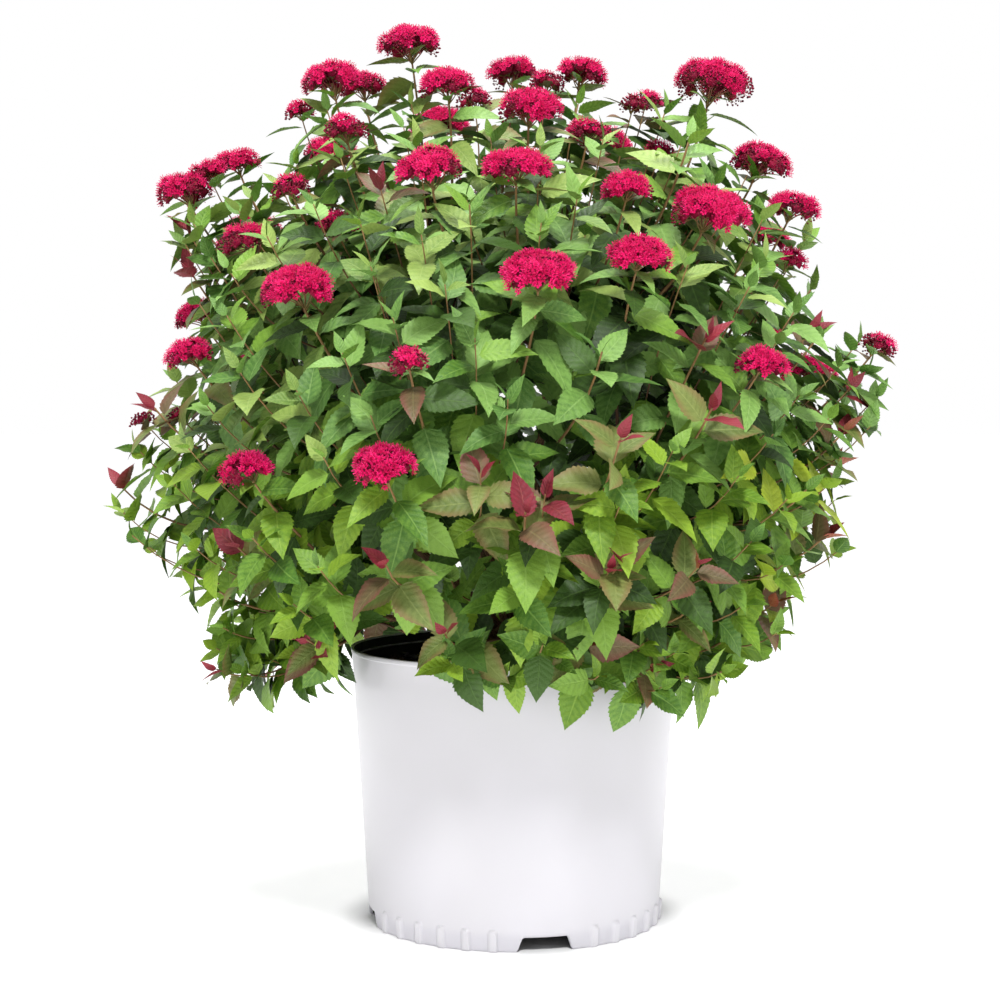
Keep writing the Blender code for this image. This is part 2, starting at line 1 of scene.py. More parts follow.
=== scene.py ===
"""The looks of a flowering spirea in a white nursery pot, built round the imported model.

Boughs, shoots and leaves grow here by the same rule and from the same sizes as in the model, and
are carried on to finer shoots, leaves at their real size, and flower heads made of florets and
buds. Sizes are in metres. The pot's axis is Z, and the plant is looked at from -Y."""

import math

import bpy
import numpy as np
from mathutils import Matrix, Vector


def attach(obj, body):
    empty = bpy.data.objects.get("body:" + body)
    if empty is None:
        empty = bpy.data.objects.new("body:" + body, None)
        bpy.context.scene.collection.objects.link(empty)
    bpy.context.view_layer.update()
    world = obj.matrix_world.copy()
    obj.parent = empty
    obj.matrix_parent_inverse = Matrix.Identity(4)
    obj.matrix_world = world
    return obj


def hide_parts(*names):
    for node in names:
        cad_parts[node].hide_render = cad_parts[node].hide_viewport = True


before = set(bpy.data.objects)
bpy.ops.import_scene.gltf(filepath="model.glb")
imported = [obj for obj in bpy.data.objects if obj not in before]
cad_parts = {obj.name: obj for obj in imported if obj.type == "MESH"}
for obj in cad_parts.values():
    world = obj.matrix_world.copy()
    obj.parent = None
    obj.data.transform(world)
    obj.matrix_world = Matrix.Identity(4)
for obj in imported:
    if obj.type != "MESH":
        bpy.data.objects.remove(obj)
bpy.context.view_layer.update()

SEED = 11
CLEAR = 0.0003
UP = np.array((0.0, 0.0, 1.0))
ASKEW = (0.31, 0.93, 0.17)  # a way that no shoot runs in
GOLDEN_TURN = math.pi * (3 - math.sqrt(5))
MM = 0.001
ANY_PHASE = (0, 6.28)  # radians

# The pot, as the model has it
POT_HEIGHT = 0.235
POT_TOP_RADIUS = 0.140
POT_FOOT_RADIUS = 0.1255
POT_WALL = 0.0022
FLOOR_RISE = 0.012
DISH_RADIUS = 0.030
DISH_SLOPE = 0.005
RING_WIDTH = 0.003
LIP_HEIGHT = 0.0045
LIP_PROUD = 0.0009
LEDGE_DROP = 0.009
LEDGE_DEPTH = 0.0011
LIP_ROUND = 0.0008
FOOT_ROUND = 0.0016
LEDGE_OUTLINE = ((0.0, -0.0002), (1.25, 0.0), (1.25, 0.0009), (0.7, 0.0012))  # inset, and drop
NOTCH_COUNT = 4
NOTCH_TURN = math.radians(11.5)
NOTCH_FOOT_WIDTH = 0.048
NOTCH_HEAD_WIDTH = 0.036
RIBS_BETWEEN_NOTCHES = 6
RIB_PITCH = math.radians(10.2)
RIB_WIDTH = 0.0084
RIB_HEIGHT = 0.0185
RIB_PROUD = 0.0024
RIB_STEEPNESS = 3.2
DRAIN_RADIUS = 0.009
DRAIN_INSET = 0.018
DRAIN_CUT = (0.003, 0.006)  # how far the cutters reach under and over the floor's underside
DRAIN_SIDES = 28
SHARP_ANGLE = math.radians(38)
POT_COLUMNS = 528
FOOT_ROWS = (0, 0.0002, 0.0006)  # heights of the rings round the foot's outer edge
RIB_ROWS = (0.0016, 0.024, 17)  # first and last height of the rings over the ribs, and their count
WALL_ROWS_FROM = 0.034
WALL_ROWS = 12
LIP_SHARES = (0.15, 0.5, 0.85, 1.0)
LIP_ANGLES = (0, 25, 55, 90, 125, 155, 180)
DISH_WALL = 0.7 * POT_WALL
LINER_WALL = 0.0005
LINER_GAP = 0.0001
BAND_COLUMNS = 480
SOIL_TOP = POT_HEIGHT - 0.020
SOIL_MOUND = 0.006
MOUND_SHARE = 0.65  # of the soil's radius, over which the mound rises
SOIL_COLUMNS = 200
SOIL_RINGS = 46
SOIL_GAP = 0.0012  # from the wall
SOIL_LIFT = 0.001  # from the pot's floor
SOIL_SINK = 0.0015  # how far the bed lies lower than the model's, with clods up to it
SOIL_EDGE_STEP = 0.0008  # from the edge to the first ring of the top
SOIL_MIDDLE = 0.003  # radius of the last ring
CLODS_WITHIN = 0.995  # of the soil's radius
CLODS = ((0.0022, 0.011), (0.0012, 0.0045))  # height and breadth of the coarse and the fine ones
LEDGE_LEVEL = POT_HEIGHT - LEDGE_DROP
LINER_BANDS = (  # lower and upper edge, and how far inside the wall's inner face
    (LEDGE_LEVEL + 0.0004, POT_HEIGHT - 0.0014, 0.0001),
    (SOIL_TOP - 0.012, LEDGE_LEVEL - 0.0013, LEDGE_DEPTH * 0.72),
)
CHIP_COUNT = 1100
CHIP_SHAPE = (1.0, 0.45, 0.16)  # length, width and height
CHIP_STRETCH = (0.6, 1.3)  # by which each chip's length, width and height vary
CHIP_NUDGE = (0.65, 1.15)  # and each of its corners
CHIP_TILT = 0.28
CHIP_INSET = 0.008
CHIP_SINK = 0.0005
CHIP_PILE = 0.0014
GREY_CHIPS = (0.62, (0.0035, 0.0085))  # share of all chips, and their least and greatest half-length
BROWN_CHIPS = (0.38, (0.003, 0.0075))

# The root crown and the crown's outline, as the model has them
KNOB_RADIUS = 0.024
KNOB_RISE = 0.012
FLARE_RADIUS = 0.031
KNOB_FLARE = ((0.97, -0.004), (1.0, 0.001), (0.86, 0.0035))  # share of that radius, and rise
KNOB_COLUMNS = 64
CROWN_X = -0.012
WIDEST_LEVEL = 0.420
CROWN_REACH = 0.282
CROWN_RISE = 0.322
CROWN_DROP = 0.230
UPPER_SQUARENESS = 2.3
LOWER_SQUARENESS = 2.5
LOWEST_TIP = 0.232
HIGHEST_TIP = 0.722
LOWEST_LEAF = 0.170
REACH_HEIGHTS = (0.188, 0.36)
REACH_RADII = (0.262, 0.346)  # past which no leaf goes, at those heights
# Name and count of masses, first turn, distance out, height, share of the way at which the bough
# ends, angle at which it leaves the root crown, and its radius there
TIERS = (
    ("skirt", 5, 18.0, 0.235, 0.290, 0.46, 27.0, 0.0048),
    ("middle", 5, 54.0, 0.225, 0.450, 0.46, 50.0, 0.0052),
    ("top", 4, 30.0, 0.115, 0.640, 0.54, 73.0, 0.0044),
)
BOUGH_PULL = 0.5  # of its reach: how far from its foot a bough bends
BOUGH_TIP_SHARE = 0.62  # of its radius at the foot
BOUGH_STATIONS = 5
FILL_TIPS = 84
TIP_SPACING = 0.070
STEM_LENGTH = 0.026
STEM_HUB = 0.82  # of the stem's length, where its shoots start
BOUGH_RINGS = 34
BOUGH_SIDES = 18
BOUGH_SINK = 0.004  # how far a bough starts inside the root crown
STEM_RINGS = 9
STEM_SIDES = 12
STEM_SINK = 0.002
STEM_TIP_RADIUS = 0.0024
SHOOT_SIDES = 6
SHOOT_LIFTS = (0.5, 0.35, 0.65, 0.2, 0.8)  # of its reach: how far from its tip a shoot bends, tried in turn
SHOOT_SPACING = 0.009
TIP_HEIGHTS = (0.22, 0.40, 0.55, 0.75)
TIP_ELEVATIONS = (2.0, 34.0, 56.0, 82.0)  # degrees over the level, at those heights
LIMB_MARGIN = 0.0030
POT_MARGIN = 0.0040

# Finer shoots, which only the looks have
FINER_TIPS = 330
FINER_SPACING = 0.043
FINER_PROUD = 0.007  # how far they pass the crown's outline
FINER_DROP = 0.055  # how far below it they end at the top, under the flowers
FRINGE_TIPS = 34
FRINGE_RADIUS = 0.205
FRINGE_RADIUS_SCATTER = (-0.020, 0.022)
FRINGE_HEIGHT = 0.240
FRINGE_HEIGHT_SCATTER = (-0.020, 0.020)
FRINGE_TURN_SCATTER = (-0.3, 0.3)  # of the turn from one tip to the next
INNER_TIPS = 90
INNER_SPACING = 0.055
INNER_PROUD = -0.085
FINER_LINE_SPACING = 0.004
PATH_STATIONS = 12
LINE_STATIONS = 4  # of the lines on which the model's shoots are routed
FINER_LINE_STATIONS = 6
CLAIM_STEP = 0.008
UPTURN_HEIGHTS = (0.24, 0.36, 0.56)
UPTURN_SHARES = (0.24, 0.26, 0.0)  # of a shoot's length
SHOOT_RADII = (0.0018, 0.00080)  # at the stem and at the tip
FINER_RADII = (0.0011, 0.00050)

# What stands out when the plant is seen from SIGHT: across, up, and depth behind the pot's axis
SIGHT = np.array((-0.012, -1.70, 0.435))
HEADS = (  # with the flower head's width, and the share of it that has opened
    (-0.089, 0.748, -0.02, 0.056, 0.95),
    (-0.156, 0.718, -0.05, 0.053, 0.90),
    (-0.057, 0.714, -0.10, 0.050, 0.75),
    (-0.001, 0.724, 0.06, 0.043, 0.70),
    (0.057, 0.724, 0.03, 0.043, 0.80),
    (0.013, 0.695, -0.14, 0.055, 0.95),
    (0.170, 0.716, -0.03, 0.071, 0.90),
    (-0.145, 0.676, -0.10, 0.039, 0.15),
    (-0.072, 0.642, -0.21, 0.060, 0.85),
    (0.002, 0.644, -0.22, 0.059, 0.95),
    (0.064, 0.674, -0.09, 0.038, 0.30),
    (0.098, 0.626, -0.20, 0.043, 1.00),
    (0.168, 0.606, -0.19, 0.071, 1.00),
    (0.211, 0.648, -0.06, 0.056, 0.60),
    (0.240, 0.610, -0.09, 0.045, 0.80),
    (-0.283, 0.624, -0.03, 0.050, 0.90),
    (-0.238, 0.648, 0.03, 0.038, 0.90),
    (-0.192, 0.627, -0.12, 0.034, 0.15),
    (-0.229, 0.581, -0.12, 0.052, 0.30),
    (-0.187, 0.540, -0.22, 0.069, 0.90),
    (-0.279, 0.484, -0.13, 0.043, 0.75),
    (0.022, 0.554, -0.28, 0.064, 1.00),
    (0.108, 0.569, -0.25, 0.055, 1.00),
    (-0.091, 0.478, -0.30, 0.036, 0.20),
    (0.214, 0.476, -0.22, 0.045, 1.00),
    (0.313, 0.492, -0.02, 0.034, 0.20),
    (-0.231, 0.385, -0.22, 0.046, 0.75),
    (-0.113, 0.389, -0.30, 0.054, 1.00),
)
YOUNG_TIPS = (
    (-0.342, 0.375, -0.02),
    (-0.310, 0.440, -0.06),
    (-0.241, 0.322, -0.17),
    (-0.111, 0.305, -0.27),
    (-0.060, 0.245, -0.22),
    (0.067, 0.240, -0.21),
    (0.152, 0.266, -0.19),
    (0.092, 0.310, -0.27),
    (0.010, 0.350, -0.30),
    (0.092, 0.414, -0.30),
    (0.171, 0.440, -0.25),
    (0.165, 0.500, -0.23),
    (0.285, 0.420, -0.07),
    (0.270, 0.330, -0.08),
    (-0.180, 0.240, -0.17),
    (-0.280, 0.560, -0.04),
)
FINER_HEADS = (
    (-0.034, 0.701, -0.03, 0.032, 0.00),
    (0.029, 0.717, 0.02, 0.030, 0.10),
    (0.102, 0.698, -0.02, 0.026, 0.00),
    (0.113, 0.701, 0.01, 0.024, 0.10),
    (-0.183, 0.692, -0.02, 0.024, 0.50),
    (-0.320, 0.429, -0.04, 0.022, 0.00),
    (-0.289, 0.434, -0.05, 0.018, 0.00),
    (0.237, 0.566, -0.08, 0.026, 0.90),
    (-0.153, 0.594, -0.12, 0.038, 0.15),
    (-0.262, 0.640, -0.02, 0.030, 0.85),
    (0.126, 0.659, -0.05, 0.022, 0.30),
)
FINER_YOUNG_TIPS = (
    (-0.115, 0.630, -0.16),
    (0.255, 0.506, -0.10),
    (0.290, 0.458, -0.05),
    (-0.029, 0.384, -0.29),
    (0.027, 0.366, -0.29),
    (0.083, 0.301, -0.27),
    (0.161, 0.305, -0.24),
    (0.226, 0.271, -0.12),
    (-0.181, 0.237, -0.15),
    (-0.258, 0.214, -0.10),
    (0.120, 0.215, -0.17),
    (-0.280, 0.592, -0.05),
)
FINER_GREEN_TIPS = (
    (-0.340, 0.352, -0.03),
    (-0.330, 0.330, -0.06),
    (-0.318, 0.322, -0.02),
    (0.282, 0.318, -0.05),
    (0.180, 0.212, -0.16),
    (0.228, 0.245, -0.13),
    (0.312, 0.450, -0.02),
    (0.305, 0.474, -0.03),
    (0.296, 0.496, -0.03),
    (0.308, 0.425, -0.05),
    (0.143, 0.665, -0.10),
    (-0.020, 0.672, -0.05),
    (-0.275, 0.598, -0.06),
    (0.215, 0.605, -0.10),
    (0.282, 0.478, -0.07),
    (0.250, 0.585, -0.06),
    (0.238, 0.276, -0.10),
    (-0.325, 0.405, -0.04),
    (-0.258, 0.232, -0.08),
    (-0.235, 0.212, -0.10),
    (0.130, 0.696, -0.04),
    (0.162, 0.682, -0.05),
    (0.200, 0.640, -0.07),
    (-0.285, 0.585, -0.05),
    (-0.262, 0.572, -0.08),
    (-0.160, 0.695, -0.05),
    (0.055, 0.700, 0.00),
    (-0.088, 0.700, -0.04),
    (0.128, 0.198, -0.19),
    (0.186, 0.214, -0.14),
    (-0.252, 0.250, -0.10),
)
SEEN_REACH = (  # height, and how far the crown reaches left and right there, seen from SIGHT
    (0.159, -0.137, 0.178), (0.176, -0.264, 0.180), (0.193, -0.268, 0.188), (0.211, -0.282, 0.208),
    (0.228, -0.284, 0.238), (0.245, -0.282, 0.248), (0.263, -0.272, 0.252), (0.280, -0.300, 0.256),
    (0.297, -0.304, 0.276), (0.315, -0.327, 0.302), (0.332, -0.352, 0.302), (0.349, -0.358, 0.288),
    (0.384, -0.358, 0.304), (0.418, -0.354, 0.322), (0.436, -0.353, 0.324), (0.453, -0.339, 0.328),
    (0.470, -0.316, 0.332), (0.505, -0.307, 0.332), (0.522, -0.294, 0.282), (0.539, -0.294, 0.262),
    (0.557, -0.308, 0.268), (0.643, -0.311, 0.268), (0.660, -0.262, 0.250), (0.678, -0.235, 0.240),
    (0.700, -0.200, 0.220),
)
SHOOT_MARGIN = 0.014  # how far inside that outline the finer shoots stay
REAR_HEADS_ABOVE = 0.44
REAR_HEADS_FROM = 0.03
REAR_HEAD_WIDTH = 0.054
REAR_HEAD_SIZES = (0.75, 1.1)
REAR_HEADS_OPEN = (0.3, 0.8, 0.95, 1.0)
YOUNG_SHARE = 0.34  # of the filled-in shoots that end in young leaves
YOUNG_BELOW = 0.44  # and where those stand
YOUNG_BEHIND = -0.02

# Leaves, and how they stand
TIP_GAP = 0.0040
FLOWER_GAP = 0.0038
GAP_GROWTH = 0.00040  # a square law, so each gap is longer by twice this
HEAD_NECK = 0.15  # of a flower head's width, bare under its tip
BUD_NECK = 0.001
FIRST_LEAF = 0.26  # of a shoot's length, bare at its foot
MOST_LEAVES = 60  # on one shoot
LEAF_LENGTHS = (0.047, 0.056)  # low on the plant and at its top
LEAF_SHAPES = (0.53, 0.40)  # width by length, low on the plant and at its top
LEAF_ROWS = np.array((0.0, 0.06, 0.15, 0.24, 0.33, 0.42, 0.51, 0.60, 0.69, 0.78, 0.87, 0.94))
LEAF_COLUMNS = np.array((-1.0, 0.0, 1.0))
VEIN_PAIRS = 8.0
STALK_WIDTH = 0.045
BLADE_SWELL = 0.62
BLADE_TAPER = 1.22
PETIOLE = 0.07  # share of a leaf's length
LEAF_ROLL = 0.34  # how far a leaf's face turns off its usual way
TOOTH = 0.10  # of the leaf's greatest width
TOOTH_AHEAD = 0.88
TOOTH_FADE = 1.05
HOLLOW = 0.35
EDGE_WAVES = 15  # radians along a leaf
HABITS = {  # by rank from the tip: degrees off the shoot, share of full length, slimness, droop
    "under flowers": {"ranks": (0, 2, 4, 7, 11), "spread": (66, 72, 78, 84, 90),
                      "size": (0.56, 0.74, 0.90, 1.0, 1.0), "slim": (0.66, 0.78, 0.92, 1.0, 1.0),
                      "droop": (0.06, 0.16, 0.24, 0.36, 0.42)},
    "young": {"ranks": (0, 1, 2, 4, 7), "spread": (10, 24, 56, 66, 76),
              "size": (0.42, 0.52, 0.82, 0.94, 1.0), "slim": (0.80, 0.84, 0.95, 1.0, 1.0),
              "droop": (0.0, 0.0, 0.0, 0.06, 0.20)},
    "green": {"ranks": (0, 1, 3, 6, 10), "spread": (20, 38, 62, 74, 82),
              "size": (0.40, 0.56, 0.84, 1.0, 1.0), "slim": (0.85, 0.90, 1.0, 1.0, 1.0),
              "droop": (0.0, 0.0, 0.04, 0.14, 0.28)},
}
FRONT_LIGHT = 0.38  # how much the leaves turn their faces to the front
FRONT_FADE = (0.15, 0.10)  # how far behind the pot's axis that begins, and over what depth
FRONT_LESS_HIGH = 0.7  # by how much less at the top
FACE_UP = 0.35  # how much the faces turn up
FACE_UP_LOW = 0.25  # and how much more low on the plant
TIP_CUPS = ((0, 3), (0.8, 0.0))  # by rank: the leaves at the tip face its shoot
LEAF_HEIGHTS = (0.25, 0.60)  # where a shoot ends whose leaves are of the low, and of the high kind
STATION_SCATTER = 0.004
TURN_SCATTER = 0.22
SPREAD_SCATTER = 6  # degrees
SIZE_RANGE = (0.84, 1.12)
FINER_SIZE = 0.94
INNER_SIZES = ((0.2, 0.5), (0.85, 1.0))  # by how far along its shoot a leaf stands
DROOP_RANGE = (0.5, 1.4)
DROOPS = (0.5, 1.0)  # low on the plant and at its top
SHAPE_RANGE = (0.9, 1.1)
ARCH_RANGE = (0.25, 0.90)  # radians
TIP_ARCHES = ((0, 3), (0.5, 1.0))  # by rank: the leaves at the tip arch less
FOLD_RANGE = (0.22, 0.50)
WAVE_RANGE = (0.02, 0.09)
SWEEP_SCATTER = 0.05
FLOWER_ROOM = (0.16, 0.46, 0.24)  # rise, half-width and half-height kept free of leaves in a head
LOW_LEAVES = 0.41  # leaves below are yellower
HIGH_LEAVES = 0.56  # leaves above are greyer
LEFT_LEAVES = -0.17
RIGHT_LEAVES = 0.16
OUTER_LEAVES = 0.17  # from the crown's middle
RUSTY_LEAVES = 0.03  # young leaves right of this, low down, are rusty
BORDERS = (0.06, 0.10, 0.12)  # how far luck moves the low, the high and the side borders
LEAF_SAMPLES = ((0.25, 0), (0.5, 0), (0.75, 0), (1.0, 0), (0.42, 1), (0.42, -1))  # along, and aside
BATCHES = 12  # in which the leaves are tested, so that the distances fit in memory
BARE_RIM = ((-0.140, -0.098), (0.200, 0.246))  # across and up, where the photo shows the rim

# Flower heads
CLUSTER_PITCH = 0.0044  # a head has its width over this in clusters
LEAST_COUNT = 5  # of clusters in a head, and of flowers in a cluster
HEAD_UPRIGHT = 1.3  # how much a head turns up from its shoot's way
HEAD_LEAN = math.radians(72)  # how far the outermost clusters lean
LEAN_RANGE = (0.9, 1.08)
CLUSTER_TURN_SCATTER = 0.15
CLUSTER_RISE_SCATTER = 0.018
HEAD_HALF_WIDTH = 0.42  # of a head's width, as are its rise and its sink
HEAD_RISE = 0.30
HEAD_SINK = 0.10
FULLY_OPEN = 0.90  # share of clusters that have opened in a head that is as open as can be
IN_BUD_BELOW = 0.35  # heads less open than this have young leaves under them
CLUSTER_SHARE = 0.63  # of a head's width, over the square root of its clusters: a cluster's radius
CLUSTER_DOME = 0.55  # of a cluster's radius
CLUSTER_SIZES = (0.88, 1.12)
HUB_DEPTH = 0.9  # of a cluster's radius, under its top, where its florets' stalks part
STALK_ROOTS = (0.20, 0.30)  # of a head's width, under its tip
STALK_PULL = (0.16, 0.45)  # of a head's width up, and of a cluster's distance out, where stalks bend
DOME_SCATTER = 0.0006
FLOWER_LEAN = 0.95  # how far the outermost flowers of a cluster lean
OPENING_SCATTER = 0.12
UNOPENED = (0.06, 0.26)  # chance of a bud in an opened cluster, at its middle, and more at its rim
FLORET_PITCH = 0.0021
FLORET_SCALES = (1.0, 1.25)
BUD_PITCH = 0.0017
BUD_SCALES = (0.80, 1.20)
STAMENS = 6
ANTHER = 0.26
HEART_SHARES = (0.86, 0.60)  # of a cluster's radius, when it has opened and in bud
HEART_DEPTH = 0.22
HEART_FLATNESS = 0.55
STALK_STATIONS = 6
STALK_RADII = (0.00060, 0.00040)
FLORET_STALK_RADII = (0.00030, 0.00022)
FLORETS_A_STALK = 3
BUDS_A_STALK = 2
PETAL_OUTLINE = (  # radius and rise in millimetres about an angle from the petal's middle
    (0.4, 0, 0), (1.6, -0.60, 0.4), (2.5, -0.26, 0.8), (2.5, 0.26, 0.8), (1.6, 0.60, 0.4),
)

# Camera and light
CAMERA_PITCH = math.radians(2.5)
CAMERA_LENS = 70.9
SENSOR_WIDTH = 36.0
PAPER_REACH = 40.0
PAPER_SQUARES = 24  # along each side
# the paper's glow is painted light
PAINTED_FLOOR_GLOW = 0.42
GLOW_FROM_POT = (0.120, 0.160)  # distances from the pot's axis between which the painted glow comes up, leaving a painted shadow round the pot
ROOM_WHITE = (1.0, 1.0, 1.0, 1.0)
ROOM_FRONT = (0.46, 0.46, 0.48, 1.0)
ROOM_SIDES = (0.26, 0.26, 0.28, 1.0)
ROOM_DARKENS_SIDE = (0.45, 1.0)  # parts of a direction between which each change comes in
ROOM_DARKENS_FRONT = (-0.2, 0.6)
ROOM_DARKENS_UP = (0.20, 0.34)
LAMPS = (  # name, place, aim, width, power
    ("key", (0.10, -1.80, 2.3), (0, 0, 0.4), 0.5, 54),
    ("top", (-0.1, 0.0, 2.5), (0, 0, 0.4), 1.2, 42),
)


def unit(vectors):
    """The vectors at length 1."""
    return vectors / np.linalg.norm(vectors, axis=-1, keepdims=True)


def out_at(turn):
    """The level direction at a turn from the front, -Y, towards +X."""
    turn = np.asarray(turn, dtype=float)
    return np.stack((np.sin(turn), -np.cos(turn), np.zeros_like(turn)), axis=-1)


def smooth_step(value):
    """A value between 0 and 1, eased at both ends."""
    value = np.clip(value, 0.0, 1.0)
    return value * value * (3 - 2 * value)


def cell_noise(places, cell, seed):
    """Smooth noise between -1 and 1: random values on a lattice of cells, blended between them."""
    table = np.random.default_rng((SEED, seed)).uniform(-1, 1, (64, 64, 64))
    scaled = places / cell
    low = np.floor(scaled).astype(int)
    share = smooth_step(scaled - low)
    total = np.zeros(places.shape[:-1])
    for corner in np.ndindex(2, 2, 2):
        weight = np.prod(np.where(corner, share, 1 - share), axis=-1)
        index = (low + corner) % 64
        total += weight * table[index[..., 0], index[..., 1], index[..., 2]]
    return total


def piece(name, points, polygons, look, nodes=(), uv=None, tone=None, smooth=True):
    """A mesh piece from its points and its polygons, a list of index arrays, one for each number
    of corners. uv and tone are given for each point."""
    mesh = bpy.data.meshes.new(name)
    points = np.asarray(points, dtype=np.float32).reshape(-1, 3)
    corners = np.concatenate([faces.ravel() for faces in polygons]).astype(np.int32)
    sizes = np.concatenate([np.full(len(faces), faces.shape[1]) for faces in polygons])
    mesh.vertices.add(len(points))
    mesh.vertices.foreach_set("co", points.ravel())
    mesh.loops.add(len(corners))
    mesh.loops.foreach_set("vertex_index", corners)
    mesh.polygons.add(len(sizes))
    mesh.polygons.foreach_set("loop_start", np.concatenate(([0], np.cumsum(sizes)[:-1])).astype(np.int32))
    mesh.polygons.foreach_set("use_smooth", np.full(len(sizes), smooth))
    mesh.update(calc_edges=True)
    if uv is not None:
        layer = mesh.uv_layers.new(name="surface")
        layer.data.foreach_set("uv", np.asarray(uv, dtype=np.float32).reshape(-1, 2)[corners].ravel())
    if tone is not None:
        layer = mesh.attributes.new("tone", "FLOAT", "POINT")
        layer.data.foreach_set("value", np.asarray(tone, dtype=np.float32).ravel())
    mesh.materials.append(look)
    made = bpy.data.objects.new(name, mesh)
    bpy.context.scene.collection.objects.link(made)
    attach(made, "root")
    if nodes:
        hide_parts(*nodes)
    return made


def mass_nodes(plan):
    """The model's nodes for the masses of foliage."""
    return ["foliage_" + mass["name"] for mass in plan]


def repeated(faces, count, size):
    """The same faces for each of count copies of a shape that has size points."""
    return (faces[None] + (np.arange(count) * size)[:, None, None]).reshape(-1, faces.shape[1])


def ring_faces(rows, columns):
    """Faces of a closed surface made of rings of points: quads between the rings, and triangles to
    a last two points, the pole before the first ring and the pole after the last."""
    row, column = np.indices((rows - 1, columns)).reshape(2, -1)
    beside = (column + 1) % columns
    quads = np.stack((
        row * columns + column, row * columns + beside,
        (row + 1) * columns + beside, (row + 1) * columns + column,
    ), axis=1)
    column = np.arange(columns)
    beside = (column + 1) % columns
    first, last, top = rows * columns, rows * columns + 1, (rows - 1) * columns
    start = np.stack((np.full(columns, first), beside, column), axis=1)
    end = np.stack((np.full(columns, last), top + column, top + beside), axis=1)
    return quads, np.concatenate((start, end))


def tubes(paths, radii, sides):
    """Tubes along many flat curves at once: paths is (tube, station, 3) and radii is (tube,
    station). Each ring is a circle about its station, square to the path, on two vectors of which
    one is square to the whole curve. Rings run so that the faces point outwards."""
    along = unit(np.gradient(paths, axis=1))
    chord = paths[:, -1] - paths[:, 0]
    middle = paths[:, paths.shape[1] // 2] - paths[:, 0]
    flat = np.cross(middle, chord)
    small = np.linalg.norm(flat, axis=1) < 1e-9
    flat[small] = np.cross(chord[small], ASKEW)
    side = np.broadcast_to(unit(flat)[:, None], along.shape)
    other = np.cross(along, side)
    angle = np.linspace(0, 2 * math.pi, sides, endpoint=False)
    spokes = side[:, :, None] * np.cos(angle)[:, None] + other[:, :, None] * np.sin(angle)[:, None]
    rings = paths[:, :, None] + spokes * radii[:, :, None, None]
    tips = np.stack((paths[:, 0], paths[:, -1]), axis=1)
    points = np.concatenate((rings.reshape(len(paths), -1, 3), tips), axis=1)
    quads, ends = ring_faces(paths.shape[1], sides)
    size = points.shape[1]
    along_share = np.repeat(np.linspace(0, 1, paths.shape[1]), sides)
    around = np.tile(np.arange(sides) / sides, paths.shape[1])
    uv = np.stack((np.append(around, (0, 0)), np.append(along_share, (0, 1))), axis=1)
    polygons = [repeated(quads, len(paths), size), repeated(ends, len(paths), size)]
    return points, polygons, np.broadcast_to(uv, (len(paths), size, 2))


def joined(parts):
    """Several (points, polygons, uv) shapes as one."""
    points = np.concatenate([part[0].reshape(-1, 3) for part in parts])
    uv = np.concatenate([part[2].reshape(-1, 2) for part in parts])
    polygons, start = [], 0
    for part in parts:
        polygons += [faces + start for faces in part[1]]
        start += len(part[0].reshape(-1, 3))
    return points, polygons, uv


class Socket:
    """An output in a material's tree. Operators on it add Math nodes."""

    def __init__(self, tree, output=None):
        self.tree, self.output = tree, output

    def node(self, kind, settings=None, inputs=None, output=0):
        """A node of any kind: its settings, then its inputs by name or number, then the output."""
        made = self.tree.nodes.new(kind)
        for name, value in (settings or {}).items():
            setattr(made, name, value)
        for name, value in (inputs or {}).items():
            if isinstance(value, Socket):
                self.tree.links.new(value.output, made.inputs[name])
            else:
                made.inputs[name].default_value = value
        return Socket(self.tree, made.outputs[output])

    def math(self, operation, *values):
        """A Math node on numbers or sockets."""
        return self.node("ShaderNodeMath", {"operation": operation}, dict(enumerate(values)))

    def __add__(self, other):
        return self.math("ADD", self, other)

    def __sub__(self, other):
        return self.math("SUBTRACT", self, other)

    def __rsub__(self, other):
        return self.math("SUBTRACT", other, self)

    def __mul__(self, other):
        return self.math("MULTIPLY", self, other)

    __radd__, __rmul__ = __add__, __mul__

    def size(self):
        """This without its sign."""
        return self.math("ABSOLUTE", self)

    def fade(self, start, end):
        """0 where this is start, 1 where it is end, smooth between."""
        values = {"Value": self, "From Min": start, "From Max": end}
        return self.node("ShaderNodeMapRange", {"interpolation_type": "SMOOTHSTEP"}, values)

    def noise(self, scale, detail=3.0, roughness=0.55):
        """Noise with this as its place."""
        values = {"Vector": self, "Scale": scale, "Detail": detail, "Roughness": roughness}
        return self.node("ShaderNodeTexNoise", None, values)

    def blend(self, first, second):
        """The first colour where this is 0, the second where it is 1."""
        values = {0: self, 6: first, 7: second}
        return self.node("ShaderNodeMix", {"data_type": "RGBA"}, values, output=2)


def srgb(red, green, blue, alpha=1.0):
    """A colour given as on a screen, 0 to 255, as the linear light that a shader takes."""
    share = np.array((red, green, blue)) / 255
    linear = np.where(share <= 0.04045, share / 12.92, ((share + 0.055) / 1.055) ** 2.4)
    return (*(float(value) for value in linear), alpha)


def new_look(name, **constants):
    """A material, a start for its sockets, and a function that links sockets to its shader."""
    made = bpy.data.materials.new(name)
    made.use_nodes = True
    tree = made.node_tree
    shader = tree.nodes["Principled BSDF"]
    for key, value in constants.items():
        shader.inputs[key.replace("_", " ").title().replace("Ior", "IOR")].default_value = value
    start = Socket(tree)

    def link(**sockets):
        for key, value in sockets.items():
            tree.links.new(value.output, shader.inputs[key.replace("_", " ").title()])

    return made, start, link


def place_of(start):
    """A shader value: the place on the object."""
    return start.node("ShaderNodeTexCoord", output="Object")


def bump(start, height, strength, distance):
    """A shader value: the normal with a relief on it."""
    return start.node("ShaderNodeBump", None, {"Height": height, "Strength": strength, "Distance": distance})


